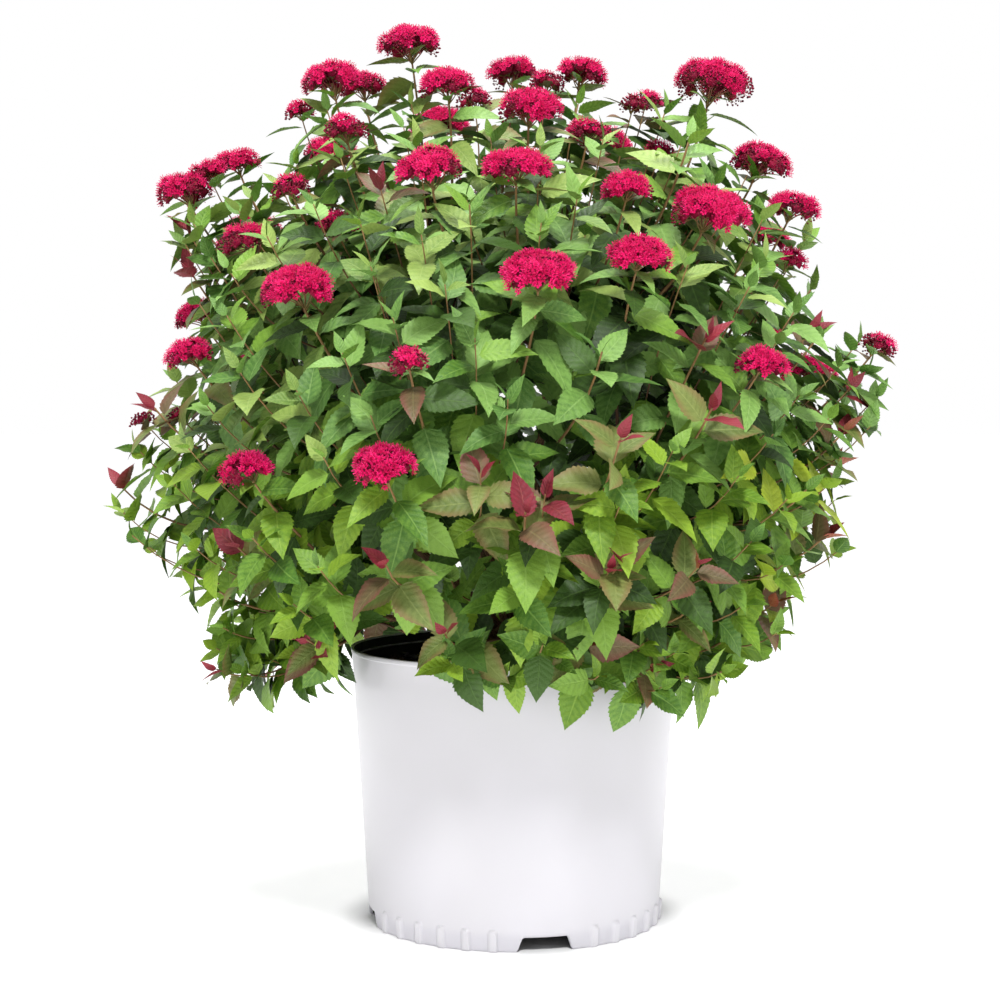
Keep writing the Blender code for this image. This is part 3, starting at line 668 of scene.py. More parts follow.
def pot_look():
    """White moulded plastic: a faint orange-peel surface, in places a trace duller, and a little
    greyer in the hollows between the ribs at its foot, where shade is painted into its colour."""
    made, start, link = new_look("pot_white_plastic", specular_ior_level=0.45)
    place = place_of(start)
    cloud = place.noise(7.0, 2.0)
    off = place.node("ShaderNodeVectorMath", {"operation": "MULTIPLY"}, {0: place, 1: (1.0, 1.0, 0.0)})
    off = off.node("ShaderNodeVectorMath", {"operation": "LENGTH"}, {0: off}, "Value")
    height = place.node("ShaderNodeSeparateXYZ", None, {"Vector": place}, "Z")
    wall = POT_FOOT_RADIUS + height * ((POT_TOP_RADIUS - POT_FOOT_RADIUS) / POT_HEIGHT)
    # painted shade: greyer where the wall sinks between the foot ribs, up to their heads
    hollow = (1.0 - (off - wall).fade(0.0, RIB_PROUD)) * (1.0 - height.fade(RIB_HEIGHT * 0.5, RIB_HEIGHT))
    plain = cloud.fade(0.3, 0.7).blend(srgb(204, 202, 206), srgb(209, 207, 212))
    link(
        base_color=hollow.blend(plain, srgb(200, 198, 204)),
        roughness=0.30 + cloud * 0.12,
        normal=bump(start, place.noise(900.0, 1.0), 0.06, 0.0004),
    )
    return made


def liner_look():
    """The black inner layer of the pot's wall, slightly dusty, which also colours the sheet of painted shade
    under the pot.
    """
    made, start, link = new_look("pot_black_lining", specular_ior_level=0.35)
    place = place_of(start)
    dust = place.noise(120.0, 4.0).fade(0.45, 0.75)
    link(
        base_color=dust.blend(srgb(24, 23, 27), srgb(52, 48, 50)),
        roughness=0.42 + dust * 0.3,
        normal=bump(start, place.noise(700.0, 2.0), 0.1, 0.0004),
    )
    return made


def soil_look(name, dark, pale):
    """Damp mulch: two tones in clods, with fine grit."""
    made, start, link = new_look(name, specular_ior_level=0.2)
    place = place_of(start)
    grit = place.noise(600.0, 5.0)
    link(
        base_color=(place.noise(140.0, 3.0) * 0.6 + grit * 0.4).fade(0.35, 0.65).blend(dark, pale),
        roughness=0.82 + grit * 0.15,
        normal=bump(start, grit, 0.6, 0.0012),
    )
    return made


def bark_look():
    """Bark in long strips: streaks that run along the limb, darker in its furrows."""
    made, start, link = new_look("spirea_bark", specular_ior_level=0.25)
    across = start.node("ShaderNodeUVMap", {"uv_map": "surface"})
    streaks = across.node("ShaderNodeMapping", None, {"Vector": across, "Scale": (26.0, 5.0, 1.0)})
    strip = streaks.noise(1.0, 4.0, 0.6)
    fine = place_of(start).noise(900.0, 3.0)
    link(
        base_color=(strip * 0.75 + fine * 0.25).fade(0.34, 0.64).blend(srgb(66, 44, 30), srgb(138, 106, 78)),
        roughness=0.70 + strip * 0.2,
        normal=bump(start, strip + fine * 0.4, 0.5, 0.0008),
    )
    return made


def shoot_look(name, low, high, root_end, tip_end):
    """A thin stem's skin, from its lower to its upper colour, with faint lengthwise streaks."""
    made, start, link = new_look(name, specular_ior_level=0.35)
    across = start.node("ShaderNodeUVMap", {"uv_map": "surface"})
    along = start.node("ShaderNodeSeparateXYZ", None, {"Vector": across}, "Y")
    streak = across.node("ShaderNodeMapping", None, {"Vector": across, "Scale": (9.0, 22.0, 1.0)}).noise(1.0)
    tone = (along.fade(root_end, tip_end) + (streak - 0.5) * 0.5).fade(0.0, 1.0)
    link(
        base_color=tone.blend(low, high),
        roughness=0.5 + streak * 0.2,
        normal=bump(start, streak, 0.2, 0.0004),
    )
    return made


def leaf_look(name, blade, dark, vein, redden=None):
    """A leaf's surface from its own map, where X runs from the stalk to the tip and Y from one edge
    to the other. A pale rib runs along the middle, side veins leave it forwards, and the blade
    swells between them, with painted shade darker along the side veins and lighter towards the
    edges. The tone of each leaf goes from dark to its full colour."""
    made, start, link = new_look(name, specular_ior_level=0.38)
    surface = start.node("ShaderNodeUVMap", {"uv_map": "surface"})
    ahead = start.node("ShaderNodeSeparateXYZ", None, {"Vector": surface}, "X")
    aside = (start.node("ShaderNodeSeparateXYZ", None, {"Vector": surface}, "Y") - 0.5).size() * 2.0
    rib = 1.0 - aside.fade(0.015, 0.09)
    wave = start.math("FRACT", ahead * VEIN_PAIRS - aside * (1.6 - ahead * 0.5))
    side_vein = 1.0 - start.math("MINIMUM", wave, 1.0 - wave).fade(0.0, 0.42)
    mottle = place_of(start).noise(260.0, 4.0)
    cells = place_of(start).noise(900.0, 2.0)
    tone = start.node("ShaderNodeAttribute", {"attribute_name": "tone"}, None, "Fac")
    # painted shade of the blade's relief: darker along the side veins, lighter towards the edges
    painted_swell_shade = side_vein * -0.14 + aside.fade(0.0, 0.5) * 0.10
    shade = (tone * 0.70 + mottle * 0.75 + cells * 0.5 + painted_swell_shade - 0.42).fade(0.0, 1.0)
    colour = shade.blend(dark, blade)
    if redden:
        colour = (aside.fade(0.30, 1.0) * 0.6 * ahead.fade(0.0, 0.5)).blend(colour, redden)
    veins = rib * 0.42
    relief = start.math("MAXIMUM", rib, side_vein * 0.9)
    link(
        base_color=veins.blend(colour, vein),
        roughness=0.40 + mottle * 0.16 + relief * 0.10,
        normal=bump(start, cells * 0.6 + mottle * 0.6 - relief * 0.32, 0.55, 0.0010),
    )
    return made


def bloom_look(name, low, high, scale, roughness):
    """Petals, stamens or buds: two close tones in fine patches, from each one's own tone."""
    made, start, link = new_look(name, roughness=roughness, specular_ior_level=0.12)
    patches = place_of(start).noise(scale, 2.0)
    tone = start.node("ShaderNodeAttribute", {"attribute_name": "tone"}, None, "Fac")
    link(base_color=(tone * 0.7 + patches * 0.6 - 0.15).fade(0.0, 1.0).blend(low, high))
    return made


def wall_radius(height):
    """The radius of the pot's outer wall at a height."""
    return POT_FOOT_RADIUS + (POT_TOP_RADIUS - POT_FOOT_RADIUS) * height / POT_HEIGHT


def from_nearest(turns, centres):
    """Each turn's signed distance to the nearest of the centres, in radians."""
    gap = (turns[..., None] - np.asarray(centres) + math.pi) % (2 * math.pi) - math.pi
    return np.take_along_axis(gap, np.abs(gap).argmin(axis=-1)[..., None], axis=-1)[..., 0]


def notch_turns():
    """The turns at which the foot notches stand."""
    return NOTCH_TURN + np.arange(NOTCH_COUNT) * 2 * math.pi / NOTCH_COUNT


def rib_turns():
    """The turns at which the foot ribs stand, in even groups between the notches."""
    ranks = np.arange(RIBS_BETWEEN_NOTCHES) - (RIBS_BETWEEN_NOTCHES - 1) / 2
    return (notch_turns()[:, None] + math.pi / NOTCH_COUNT + ranks * RIB_PITCH).ravel()


def foot_edge(turns):
    """Height of the wall's lower edge: on the ground, and up to the floor in each notch, with
    sloping sides."""
    off = np.abs(from_nearest(turns, notch_turns())) * POT_FOOT_RADIUS
    half_foot, half_head = NOTCH_FOOT_WIDTH / 2, NOTCH_HEAD_WIDTH / 2
    return (FLOOR_RISE - CLEAR) * smooth_step((half_foot - off) / (half_foot - half_head))


def rib_rise(turns, height):
    """How far the ribs stand proud: a flat-topped ridge with steep sides and a round head."""
    across = from_nearest(turns, rib_turns()) * POT_FOOT_RADIUS / (RIB_WIDTH / 2)
    over = np.maximum(0.0, height - (RIB_HEIGHT - RIB_WIDTH / 2)) / (RIB_WIDTH / 2)
    return RIB_PROUD * smooth_step((1 - np.hypot(across, over)) * RIB_STEEPNESS)


def pot_shell():
    """The pot spun from its outline: each ring is a circle whose radius and height also follow
    the notches and the ribs round the foot. It runs from the middle of the underside, out, up the
    wall, over the lip, and down the inside to the middle of the floor."""
    turns = np.linspace(0, 2 * math.pi, POT_COLUMNS, endpoint=False)
    edge = foot_edge(turns)
    level = np.ones_like(turns)
    rows = []

    def ring(radius, height):
        rows.append((radius * level, height * level))

    ring(DISH_RADIUS, 0.0)
    ring(DISH_RADIUS + DISH_SLOPE, FLOOR_RISE)
    ring(wall_radius(FLOOR_RISE) - RING_WIDTH, FLOOR_RISE)
    ring(wall_radius(edge) - RING_WIDTH, edge)
    ring(wall_radius(edge) - RING_WIDTH / 2, edge)
    lip_foot = POT_HEIGHT - LIP_HEIGHT
    wall_rows = np.linspace(WALL_ROWS_FROM, lip_foot, WALL_ROWS)
    heights = np.concatenate((FOOT_ROWS, np.linspace(*RIB_ROWS), wall_rows))
    for height in heights:
        climb = edge + (lip_foot - edge) * height / lip_foot
        inset = FOOT_ROUND * (1 - math.sqrt(1 - max(0.0, 1 - height / FOOT_ROUND) ** 2))
        rows.append((wall_radius(climb) + rib_rise(turns, climb) - inset, climb))
    outer = wall_radius(POT_HEIGHT) + LIP_PROUD
    inner = wall_radius(POT_HEIGHT) - POT_WALL + LEDGE_DEPTH / 2
    for share in LIP_SHARES:
        ring(wall_radius(lip_foot) + LIP_PROUD * smooth_step(share), lip_foot + LIP_PROUD * share)
    middle, half, shoulder = (outer + inner) / 2, (outer - inner) / 2, POT_HEIGHT - LIP_ROUND
    for angle in np.radians(LIP_ANGLES):
        ring(middle + half * math.cos(angle), shoulder + LIP_ROUND * math.sin(angle))
    for inset, drop in LEDGE_OUTLINE:
        ring(inner - LEDGE_DEPTH * inset, LEDGE_LEVEL - drop)
    floor_top = FLOOR_RISE + POT_WALL
    ring(wall_radius(floor_top) - POT_WALL, floor_top)
    ring(DISH_RADIUS + DISH_SLOPE - DISH_WALL, floor_top)
    ring(DISH_RADIUS - DISH_WALL, POT_WALL)
    radius, height = (np.array(part) for part in zip(*rows))
    rings = out_at(np.broadcast_to(turns, radius.shape)) * radius[..., None] + UP * height[..., None]
    points = np.concatenate((rings.reshape(-1, 3), ((0, 0, 0), (0, 0, POT_WALL))))
    return points, ring_faces(len(rows), POT_COLUMNS)


def cut_drain_holes(made):
    """Cuts the four drain holes through a piece of the pot's floor, behind the notches."""
    centres = out_at(notch_turns()) * (POT_FOOT_RADIUS - DRAIN_INSET)
    under, over = DRAIN_CUT
    paths = np.stack((centres + UP * (FLOOR_RISE - under), centres + UP * (FLOOR_RISE + over)), axis=1)
    points, polygons, _ = tubes(paths, np.full((NOTCH_COUNT, 2), DRAIN_RADIUS), DRAIN_SIDES)
    mesh = bpy.data.meshes.new("drain_cutters")
    mesh.from_pydata(points.reshape(-1, 3).tolist(), [], [tuple(f) for p in polygons for f in p.tolist()])
    cutter = bpy.data.objects.new("drain_cutters", mesh)
    bpy.context.scene.collection.objects.link(cutter)
    step = made.modifiers.new("drains", "BOOLEAN")
    step.operation, step.solver, step.object = "DIFFERENCE", "EXACT", cutter
    bpy.context.view_layer.update()
    evaluated = made.evaluated_get(bpy.context.evaluated_depsgraph_get())
    cut = bpy.data.meshes.new_from_object(evaluated)
    made.modifiers.clear()
    made.data = cut
    bpy.data.objects.remove(cutter)
    made.data.set_sharp_from_angle(angle=SHARP_ANGLE)


def spun_band(rows):
    """A closed band spun about Z from rows of radius and height, each a number or one for each
    of BAND_COLUMNS turns, in order round the band's outline."""
    turns = np.linspace(0, 2 * math.pi, BAND_COLUMNS, endpoint=False)
    radius, height = (np.array([part * np.ones(BAND_COLUMNS) for part in parts]) for parts in zip(*rows))
    rings = out_at(np.broadcast_to(turns, radius.shape)) * radius[..., None] + UP * height[..., None]
    row, column = np.indices((len(rows), BAND_COLUMNS)).reshape(2, -1)
    ahead, beside = (row + 1) % len(rows), (column + 1) % BAND_COLUMNS
    corners = (row, column), (row, beside), (ahead, beside), (ahead, column)
    quads = np.stack([line * BAND_COLUMNS + turn for line, turn in corners], axis=1)
    return rings.reshape(-1, 3), [quads], np.zeros((len(rows) * BAND_COLUMNS, 2))


def liner_band(low, high, drop):
    """A thin band inside the pot's wall between two heights. drop is how far inside the wall's
    own inner face it stands."""
    outer_low, outer_high = (wall_radius(at) - POT_WALL + LEDGE_DEPTH / 2 - drop for at in (low, high))
    return spun_band(((outer_low, low), (outer_high, high),
                      (outer_high - LINER_WALL, high), (outer_low - LINER_WALL, low)))


def underside_shade_sheet():
    """A black sheet under the pot's floor and down the inside of its foot ring, which stops at
    the notches: painted shade, so that what shows through the notches is dark."""
    edge = foot_edge(np.linspace(0, 2 * math.pi, BAND_COLUMNS, endpoint=False))
    under = FLOOR_RISE - LINER_GAP
    rim = wall_radius(FLOOR_RISE) - RING_WIDTH - LINER_GAP
    foot_height = np.minimum(edge + LINER_WALL, under - LINER_WALL / 2)
    foot_radius = wall_radius(foot_height) - RING_WIDTH - LINER_GAP
    middle = DISH_RADIUS + DISH_SLOPE + LINER_WALL
    return spun_band(((middle, under), (middle, under - LINER_WALL), (rim - LINER_WALL, under - LINER_WALL),
                      (foot_radius - LINER_WALL, foot_height), (foot_radius, foot_height), (rim, under)))


def mound_rise(share):
    """How far the soil's mound rises at a share of its radius: evenly from the edge, to a flat
    middle."""
    return SOIL_MOUND * np.clip((1 - share) / MOUND_SHARE, 0, 1)


def soil_bed():
    """The soil: rings from the middle of its underside out to the wall and back over its top, whose
    height is a low mound with clods of noise on it."""
    turns = np.linspace(0, 2 * math.pi, SOIL_COLUMNS, endpoint=False)
    low = FLOOR_RISE + POT_WALL + SOIL_LIFT
    edge = wall_radius(SOIL_TOP) - POT_WALL - SOIL_GAP
    foot = wall_radius(low) - POT_WALL - SOIL_GAP
    radii = [foot, edge, *np.linspace(edge - SOIL_EDGE_STEP, SOIL_MIDDLE, SOIL_RINGS)]
    radii = np.array(radii)[:, None] * np.ones_like(turns)
    rings = out_at(np.broadcast_to(turns, radii.shape)) * radii[..., None]
    share = np.clip(radii / edge, 0, 1)
    mound = SOIL_TOP - SOIL_SINK + mound_rise(share)
    clods = sum(rise * cell_noise(rings, breadth, i + 1) for i, (rise, breadth) in enumerate(CLODS))
    height = mound + np.where(share < CLODS_WITHIN, clods, 0.0)
    height[0] = low
    rings = rings + UP * height[..., None]
    poles = np.array(((0, 0, low), (0, 0, rings[-1, :, 2].mean())))
    return np.concatenate((rings.reshape(-1, 3), poles)), ring_faces(len(rings), len(turns))


def bark_chips(random, count, sizes):
    """Chips of mulch: boxes with every corner nudged, lying nearly flat on the soil."""
    corner = np.array(np.meshgrid((-1, 1), (-1, 1), (-1, 1), indexing="ij")).reshape(3, -1).T
    edge = wall_radius(SOIL_TOP) - POT_WALL - CHIP_INSET
    radius = edge * np.sqrt(random.uniform(0.02, 1.0, count))
    turn = random.uniform(0, 2 * math.pi, count)
    half = random.uniform(*sizes, (count, 1)) * CHIP_SHAPE * random.uniform(*CHIP_STRETCH, (count, 3))
    box = corner * half[:, None] * random.uniform(*CHIP_NUDGE, (count, 8, 3))
    spin, tip = random.uniform(0, 2 * math.pi, count), random.normal(0, CHIP_TILT, (count, 2))
    ahead = unit(np.stack((np.cos(spin), np.sin(spin), tip[:, 0]), axis=1))
    side = unit(np.cross(np.stack((tip[:, 1] * 0.7, tip[:, 0] * 0.5, np.ones(count)), axis=1), ahead))
    up = np.cross(ahead, side)
    mound = SOIL_TOP - CHIP_SINK + mound_rise(radius / edge)
    places = out_at(turn) * radius[:, None] + UP * (mound + random.uniform(0, CHIP_PILE, count))[:, None]
    points = places[:, None] + (
        box[..., :1] * ahead[:, None] + box[..., 1:2] * side[:, None] + box[..., 2:] * up[:, None]
    )
    faces = np.array(((0, 1, 3, 2), (4, 6, 7, 5), (0, 4, 5, 1), (2, 3, 7, 6), (0, 2, 6, 4), (1, 5, 7, 3)))
    return points, [repeated(faces, count, 8)]


def build_pot_and_soil():
    """The pot with its lining, and the soil with its chips."""
    points, polygons = pot_shell()
    shell = piece("pot_shell", points, list(polygons), pot_look(), ["pot"])
    cut_drain_holes(shell)
    lining = liner_look()
    points, polygons, _ = joined([liner_band(*band) for band in LINER_BANDS])
    piece("pot_lining", points, polygons, lining, ["pot"], smooth=False)
    # the black sheet under the floor is painted shade
    points, polygons, _ = underside_shade_sheet()
    cut_drain_holes(piece("pot_underside", points, polygons, lining, ["pot"], smooth=False))
    points, polygons = soil_bed()
    earth = soil_look("dark_mulch", srgb(34, 30, 34), srgb(74, 66, 72))
    piece("soil_bed", points, list(polygons), earth, ["soil"])
    random = np.random.default_rng((SEED, 50))
    grey = soil_look("grey_bark_chips", srgb(46, 41, 48), srgb(104, 96, 106))
    brown = soil_look("brown_bark_chips", srgb(44, 32, 27), srgb(98, 76, 62))
    for name, look, (share, sizes) in (("chips_grey", grey, GREY_CHIPS), ("chips_brown", brown, BROWN_CHIPS)):
        points, polygons = bark_chips(random, int(CHIP_COUNT * share), sizes)
        piece(name, points, polygons, look, ["soil"], smooth=False)


def bend(start, pull, end, count):
    """Points along a quadratic curve from start to end that leaves towards pull."""
    t = np.linspace(0.0, 1.0, count)[:, None]
    return (1 - t) ** 2 * start + 2 * t * (1 - t) * pull + t**2 * end


def crown_radius(height):
    """Half the crown's width at a height: a squared-off egg, fuller below its widest level."""
    above = height - WIDEST_LEVEL
    if above >= 0:
        share, power = above / CROWN_RISE, UPPER_SQUARENESS
    else:
        share, power = -above / CROWN_DROP, LOWER_SQUARENESS
    return CROWN_REACH * max(0.0, 1 - share**power) ** (1 / power)


def end_direction(tip):
    """The way a shoot points at its tip: level at the skirt, and upright at the top."""
    lean = math.radians(np.interp(tip[2], TIP_HEIGHTS, TIP_ELEVATIONS))
    out = unit(np.array((tip[0] - CROWN_X, tip[1], 0.0)))
    return out * math.cos(lean) + UP * math.sin(lean)


def seen_tips(heads, young, green=()):
    """(tip, head width, open share, young) of what stands out in front, moved to its depth along
    the line of sight."""
    rows = [(*head, False) for head in heads]
    rows += [(*tip, 0.0, 0.0, True) for tip in young] + [(*tip, 0.0, 0.0, False) for tip in green]
    found = []
    for across, up, depth, width, opened, is_young in rows:
        share = 1 + depth / -SIGHT[1]
        tip = SIGHT + (np.array((across, 0.0, up)) - SIGHT) * share
        found.append((tip, width * share, opened, is_young))
    return found


def fill_tips(count, spacing, taken, proud=0.0):
    """Tips on a golden spiral over the crown's surface, kept apart from those already taken."""
    found = []
    for i in range(count):
        height = LOWEST_TIP + (i + 0.5) / count * (HIGHEST_TIP - LOWEST_TIP)
        tip = out_at(i * GOLDEN_TURN) * (crown_radius(height) + proud) + UP * height
        if proud > 0:
            tip[2] -= FINER_DROP * smooth_step((height - WIDEST_LEVEL) / CROWN_RISE)
        tip[0] += CROWN_X
        near = np.array(taken + found)
        if (np.linalg.norm(near - tip, axis=1) > spacing).all():
            found.append(tip)
    return found


def fringe_tips(random):
    """Tips of the short shoots that hang over the rim, in an uneven ring all round."""
    rank = np.arange(FRINGE_TIPS) + random.uniform(*FRINGE_TURN_SCATTER, FRINGE_TIPS)
    turns = rank * 2 * math.pi / FRINGE_TIPS
    radius = FRINGE_RADIUS + random.uniform(*FRINGE_RADIUS_SCATTER, FRINGE_TIPS)
    height = FRINGE_HEIGHT + random.uniform(*FRINGE_HEIGHT_SCATTER, FRINGE_TIPS)
    return list(out_at(turns) * radius[:, None] + UP * height[:, None] + (CROWN_X, 0, 0))


def plan_crown():
    """Each mass's name and middle, and the line and radii of the bough under it."""
    knob = UP * (SOIL_TOP + SOIL_MOUND + CLEAR + KNOB_RISE)
    plan = []
    for tier, count, first, distance, height, fork_share, leave, foot_radius in TIERS:
        for i in range(count):
            out = out_at(math.radians(first + 360 * i / count))
            middle = out * distance + UP * height + np.array((CROWN_X, 0.0, 0.0))
            leaving = out * math.cos(math.radians(leave)) + UP * math.sin(math.radians(leave))
            foot = knob + leaving * (KNOB_RADIUS + CLEAR)
            fork = foot + (middle - foot) * fork_share
            pull = foot + leaving * np.linalg.norm(fork - foot) * BOUGH_PULL
            plan.append({
                "name": f"{tier}_{i + 1}", "middle": middle, "ends": (foot, pull, fork),
                "line": bend(foot, pull, fork, BOUGH_STATIONS),
                "radii": np.linspace(foot_radius, foot_radius * BOUGH_TIP_SHARE, BOUGH_STATIONS),
            })
    return plan


def dense(line, step=0.004):
    """The same line with points no further apart than step."""
    pieces = [line[:1]]
    for a, b in zip(line[:-1], line[1:]):
        count = max(2, math.ceil(np.linalg.norm(b - a) / step) + 1)
        pieces.append(a + (b - a) * np.linspace(0, 1, count)[1:, None])
    return np.concatenate(pieces)


def nearest(points, others):
    """The least distance from each of points to any of others."""
    return np.linalg.norm(points[:, None] - others[None], axis=2).min(axis=1)


def clear_of_pot(points):
    """For each row of points, whether all stay outside the pot or above its rim."""
    outside = np.linalg.norm(points[..., :2], axis=-1) > POT_TOP_RADIUS + LIP_PROUD + POT_MARGIN
    return (outside | (points[..., 2] > POT_HEIGHT + POT_MARGIN)).all(axis=-1)


def within_reach(points):
    """For each row of points, whether all stay within the crown's furthest reach."""
    radius = np.linalg.norm(points[..., :2] - (CROWN_X, 0.0), axis=-1)
    furthest = np.interp(points[..., 2], REACH_HEIGHTS, REACH_RADII)
    return ((radius < furthest) & (points[..., 2] > LOWEST_LEAF)).all(axis=-1)


def young_chance(tip):
    """The chance that a filled-in shoot ends in young leaves: only low down, and behind."""
    return YOUNG_SHARE if tip[2] < YOUNG_BELOW and tip[1] > YOUNG_BEHIND else 0.0


class Limbs:
    """The lines of all boughs and of each mass's shoots, for the tests on room."""

    def __init__(self, plan):
        lines = [dense(mass["line"]) for mass in plan]
        self.boughs = np.concatenate(lines)
        self.bough_radii = np.concatenate([
            np.linspace(mass["radii"][0], mass["radii"][-1], len(line)) for mass, line in zip(plan, lines)
        ])
        self.lines = {mass["name"]: [] for mass in plan}

    def claim(self, name, line):
        """Adds the line of a stem or shoot to its mass."""
        self.lines[name].append(dense(line, CLAIM_STEP))

    def others(self, name):
        """The points of the lines of all masses but one."""
        return np.concatenate([line for key, kept in self.lines.items() if key != name for line in kept])

    def clear_of_boughs(self, points):
        """For each point, whether it keeps off every bough."""
        gaps = np.linalg.norm(points[..., None, :] - self.boughs, axis=-1) - self.bough_radii
        return gaps.min(axis=-1) > LIMB_MARGIN


def turned_up(path):
    """A shoot's path that sags on its way, the more the lower it ends, and so turns up to the
    light at its tip: lowered by the square less the fourth power of the way along it."""
    length = np.linalg.norm(np.diff(path, axis=0), axis=1).sum()
    sag = length * np.interp(path[-1, 2], UPTURN_HEIGHTS, UPTURN_SHARES)
    share = np.linspace(0, 1, len(path))[:, None]
    return path - UP * sag * (share**2 - share**4)


def route_shoots(plan, limbs, tips, stations, spacing, finer):
    """Gives each tip to the nearest mass and routes a shoot to it where there is room."""
    middles = np.array([mass["middle"] for mass in plan])
    for tip, width, opened, young in tips:
        mass = plan[int(np.linalg.norm(middles - tip, axis=1).argmin())]
        hub = mass["stem"][0] + (mass["stem"][1] - mass["stem"][0]) * STEM_HUB
        reach = np.linalg.norm(tip - hub)
        for lift in SHOOT_LIFTS:
            pull = tip - end_direction(tip) * reach * lift
            line = bend(hub, pull, tip, stations)
            free_part = dense(line)[3:]
            apart = nearest(free_part, limbs.others(mass["name"])).min() > spacing
            path = turned_up(bend(hub, pull, tip, PATH_STATIONS))
            above_rim = clear_of_pot(free_part[None])[0] and clear_of_pot(path[None, 2:])[0]
            off_rim = not finer or not at_bare_rim(path[None])[0]
            within = not finer or inside_outline(path[None], SHOOT_MARGIN)[0]
            if apart and above_rim and off_rim and within and limbs.clear_of_boughs(free_part).all():
                mass["shoots"].append({
                    "path": path, "width": width, "open": opened,
                    "young": young, "finer": finer,
                })
                limbs.claim(mass["name"], line)
                break


def grow_shoots(plan):
    """The shoots that the model has, then the finer ones."""
    limbs = Limbs(plan)
    for mass in plan:
        heading = unit(mass["line"][-1] - mass["line"][-2])
        foot = mass["line"][-1] + heading * CLEAR
        mass["stem"] = np.array((foot, foot + heading * STEM_LENGTH))
        mass["shoots"] = []
        limbs.claim(mass["name"], mass["stem"])
    random = np.random.default_rng((SEED, 60))
    tips = seen_tips(HEADS, YOUNG_TIPS)
    for tip in fill_tips(FILL_TIPS, TIP_SPACING, [row[0] for row in tips]):
        flowers = tip[1] > REAR_HEADS_FROM and tip[2] > REAR_HEADS_ABOVE
        width = REAR_HEAD_WIDTH * random.uniform(*REAR_HEAD_SIZES) if flowers else 0.0
        opened = random.choice(REAR_HEADS_OPEN)
        tips.append((tip, width, opened, not flowers and random.uniform() < young_chance(tip)))
    route_shoots(plan, limbs, tips, LINE_STATIONS, SHOOT_SPACING, finer=False)
    finer = seen_tips(FINER_HEADS, FINER_YOUNG_TIPS, FINER_GREEN_TIPS)
    finer += [(tip, 0.0, 0.0, random.uniform() < young_chance(tip)) for tip in fringe_tips(random)]
    taken = [row[0] for row in tips + finer]
    for tip in fill_tips(FINER_TIPS, FINER_SPACING, taken, FINER_PROUD):
        finer.append((tip, 0.0, 0.0, random.uniform() < young_chance(tip)))
    taken = [row[0] for row in tips + finer]
    for tip in fill_tips(INNER_TIPS, INNER_SPACING, taken, INNER_PROUD):
        finer.append((tip, 0.0, 0.0, False))
    route_shoots(plan, limbs, finer, FINER_LINE_STATIONS, FINER_LINE_SPACING, finer=True)
    return limbs


def bark_tube(path, radii, sides, phase):
    """A limb with bark's relief: a tube whose radius swells and sinks in long wandering ridges,
    with a few thicker joints where old shoots were."""
    points, polygons, uv = tubes(path[None], radii[None], sides)
    rings = points[0, :-2].reshape(len(path), sides, 3)
    spoke = rings - path[:, None]
    angle = np.linspace(0, 2 * math.pi, sides, endpoint=False)
    share = np.linspace(0, 1, len(path))[:, None]
    ridges = 0.07 * np.sin(4 * angle + phase + 3 * share) + 0.05 * np.sin(7 * angle - 2.3 * phase - 5 * share)
    joints = 0.09 * np.maximum(0, np.sin(share * 19 + phase)) ** 4
    flakes = 0.05 * cell_noise(rings * (1, 1, 0.3), 0.0016, 3)
    rings = path[:, None] + spoke * (1 + (ridges + flakes)[..., None] + joints[..., None] - 0.04)
    points = np.concatenate((rings.reshape(-1, 3), points[0, -2:]))
    return points, polygons, uv[0] * (1, np.linalg.norm(path[-1] - path[0]) / 0.03)


def knob():
    """The root crown: rings from its flat foot over a rounded knob to its top, lobed like the
    foot of a bush that has been cut back."""
    foot = SOIL_TOP + SOIL_MOUND + CLEAR
    centre = foot + KNOB_RISE
    flare = np.array(KNOB_FLARE) * (FLARE_RADIUS, 1) + (0, foot)
    angle = np.radians(np.arange(-8, 85, 8))
    dome = np.stack((KNOB_RADIUS * np.cos(angle), centre + KNOB_RADIUS * np.sin(angle)), axis=1)
    outline = np.concatenate((flare, dome))
    turns = np.linspace(0, 2 * math.pi, KNOB_COLUMNS, endpoint=False)
    rings = out_at(turns)[None] * outline[:, None, :1]
    lobes = 1 + 0.05 * np.sin(7 * turns) + 0.03 * np.sin(12 * turns + 1)
    rings = rings * lobes[None, :, None] + UP * outline[:, None, 1:]
    rings += unit(rings - UP * centre) * (0.0011 * cell_noise(rings, 0.004, 4))[..., None]
    poles = np.array(((0, 0, outline[0, 1]), (0, 0, outline[-1, 1] + 0.0004)))
    uv = np.stack(np.broadcast_arrays(turns[None] / (2 * math.pi) * 3, outline[:, 1:] / 0.03), axis=-1)
    points = np.concatenate((rings.reshape(-1, 3), poles))
    uv = np.concatenate((uv.reshape(-1, 2), np.zeros((2, 2))))
    return points, list(ring_faces(len(outline), KNOB_COLUMNS)), uv


def build_boughs(plan):
    """The root crown and the boughs, with bark."""
    parts = [knob()]
    for i, mass in enumerate(plan):
        start, pull, fork = mass["ends"]
        path = bend(start, pull, fork, BOUGH_RINGS)
        path[0] -= unit(path[1] - path[0]) * BOUGH_SINK
        radii = np.linspace(mass["radii"][0], mass["radii"][-1], BOUGH_RINGS)
        parts.append(bark_tube(path, radii, BOUGH_SIDES, i * 1.7))
    points, polygons, uv = joined(parts)
    nodes = ["root_crown"] + ["bough_" + mass["name"] for mass in plan]
    piece("bark_limbs", points, polygons, bark_look(), nodes, uv)


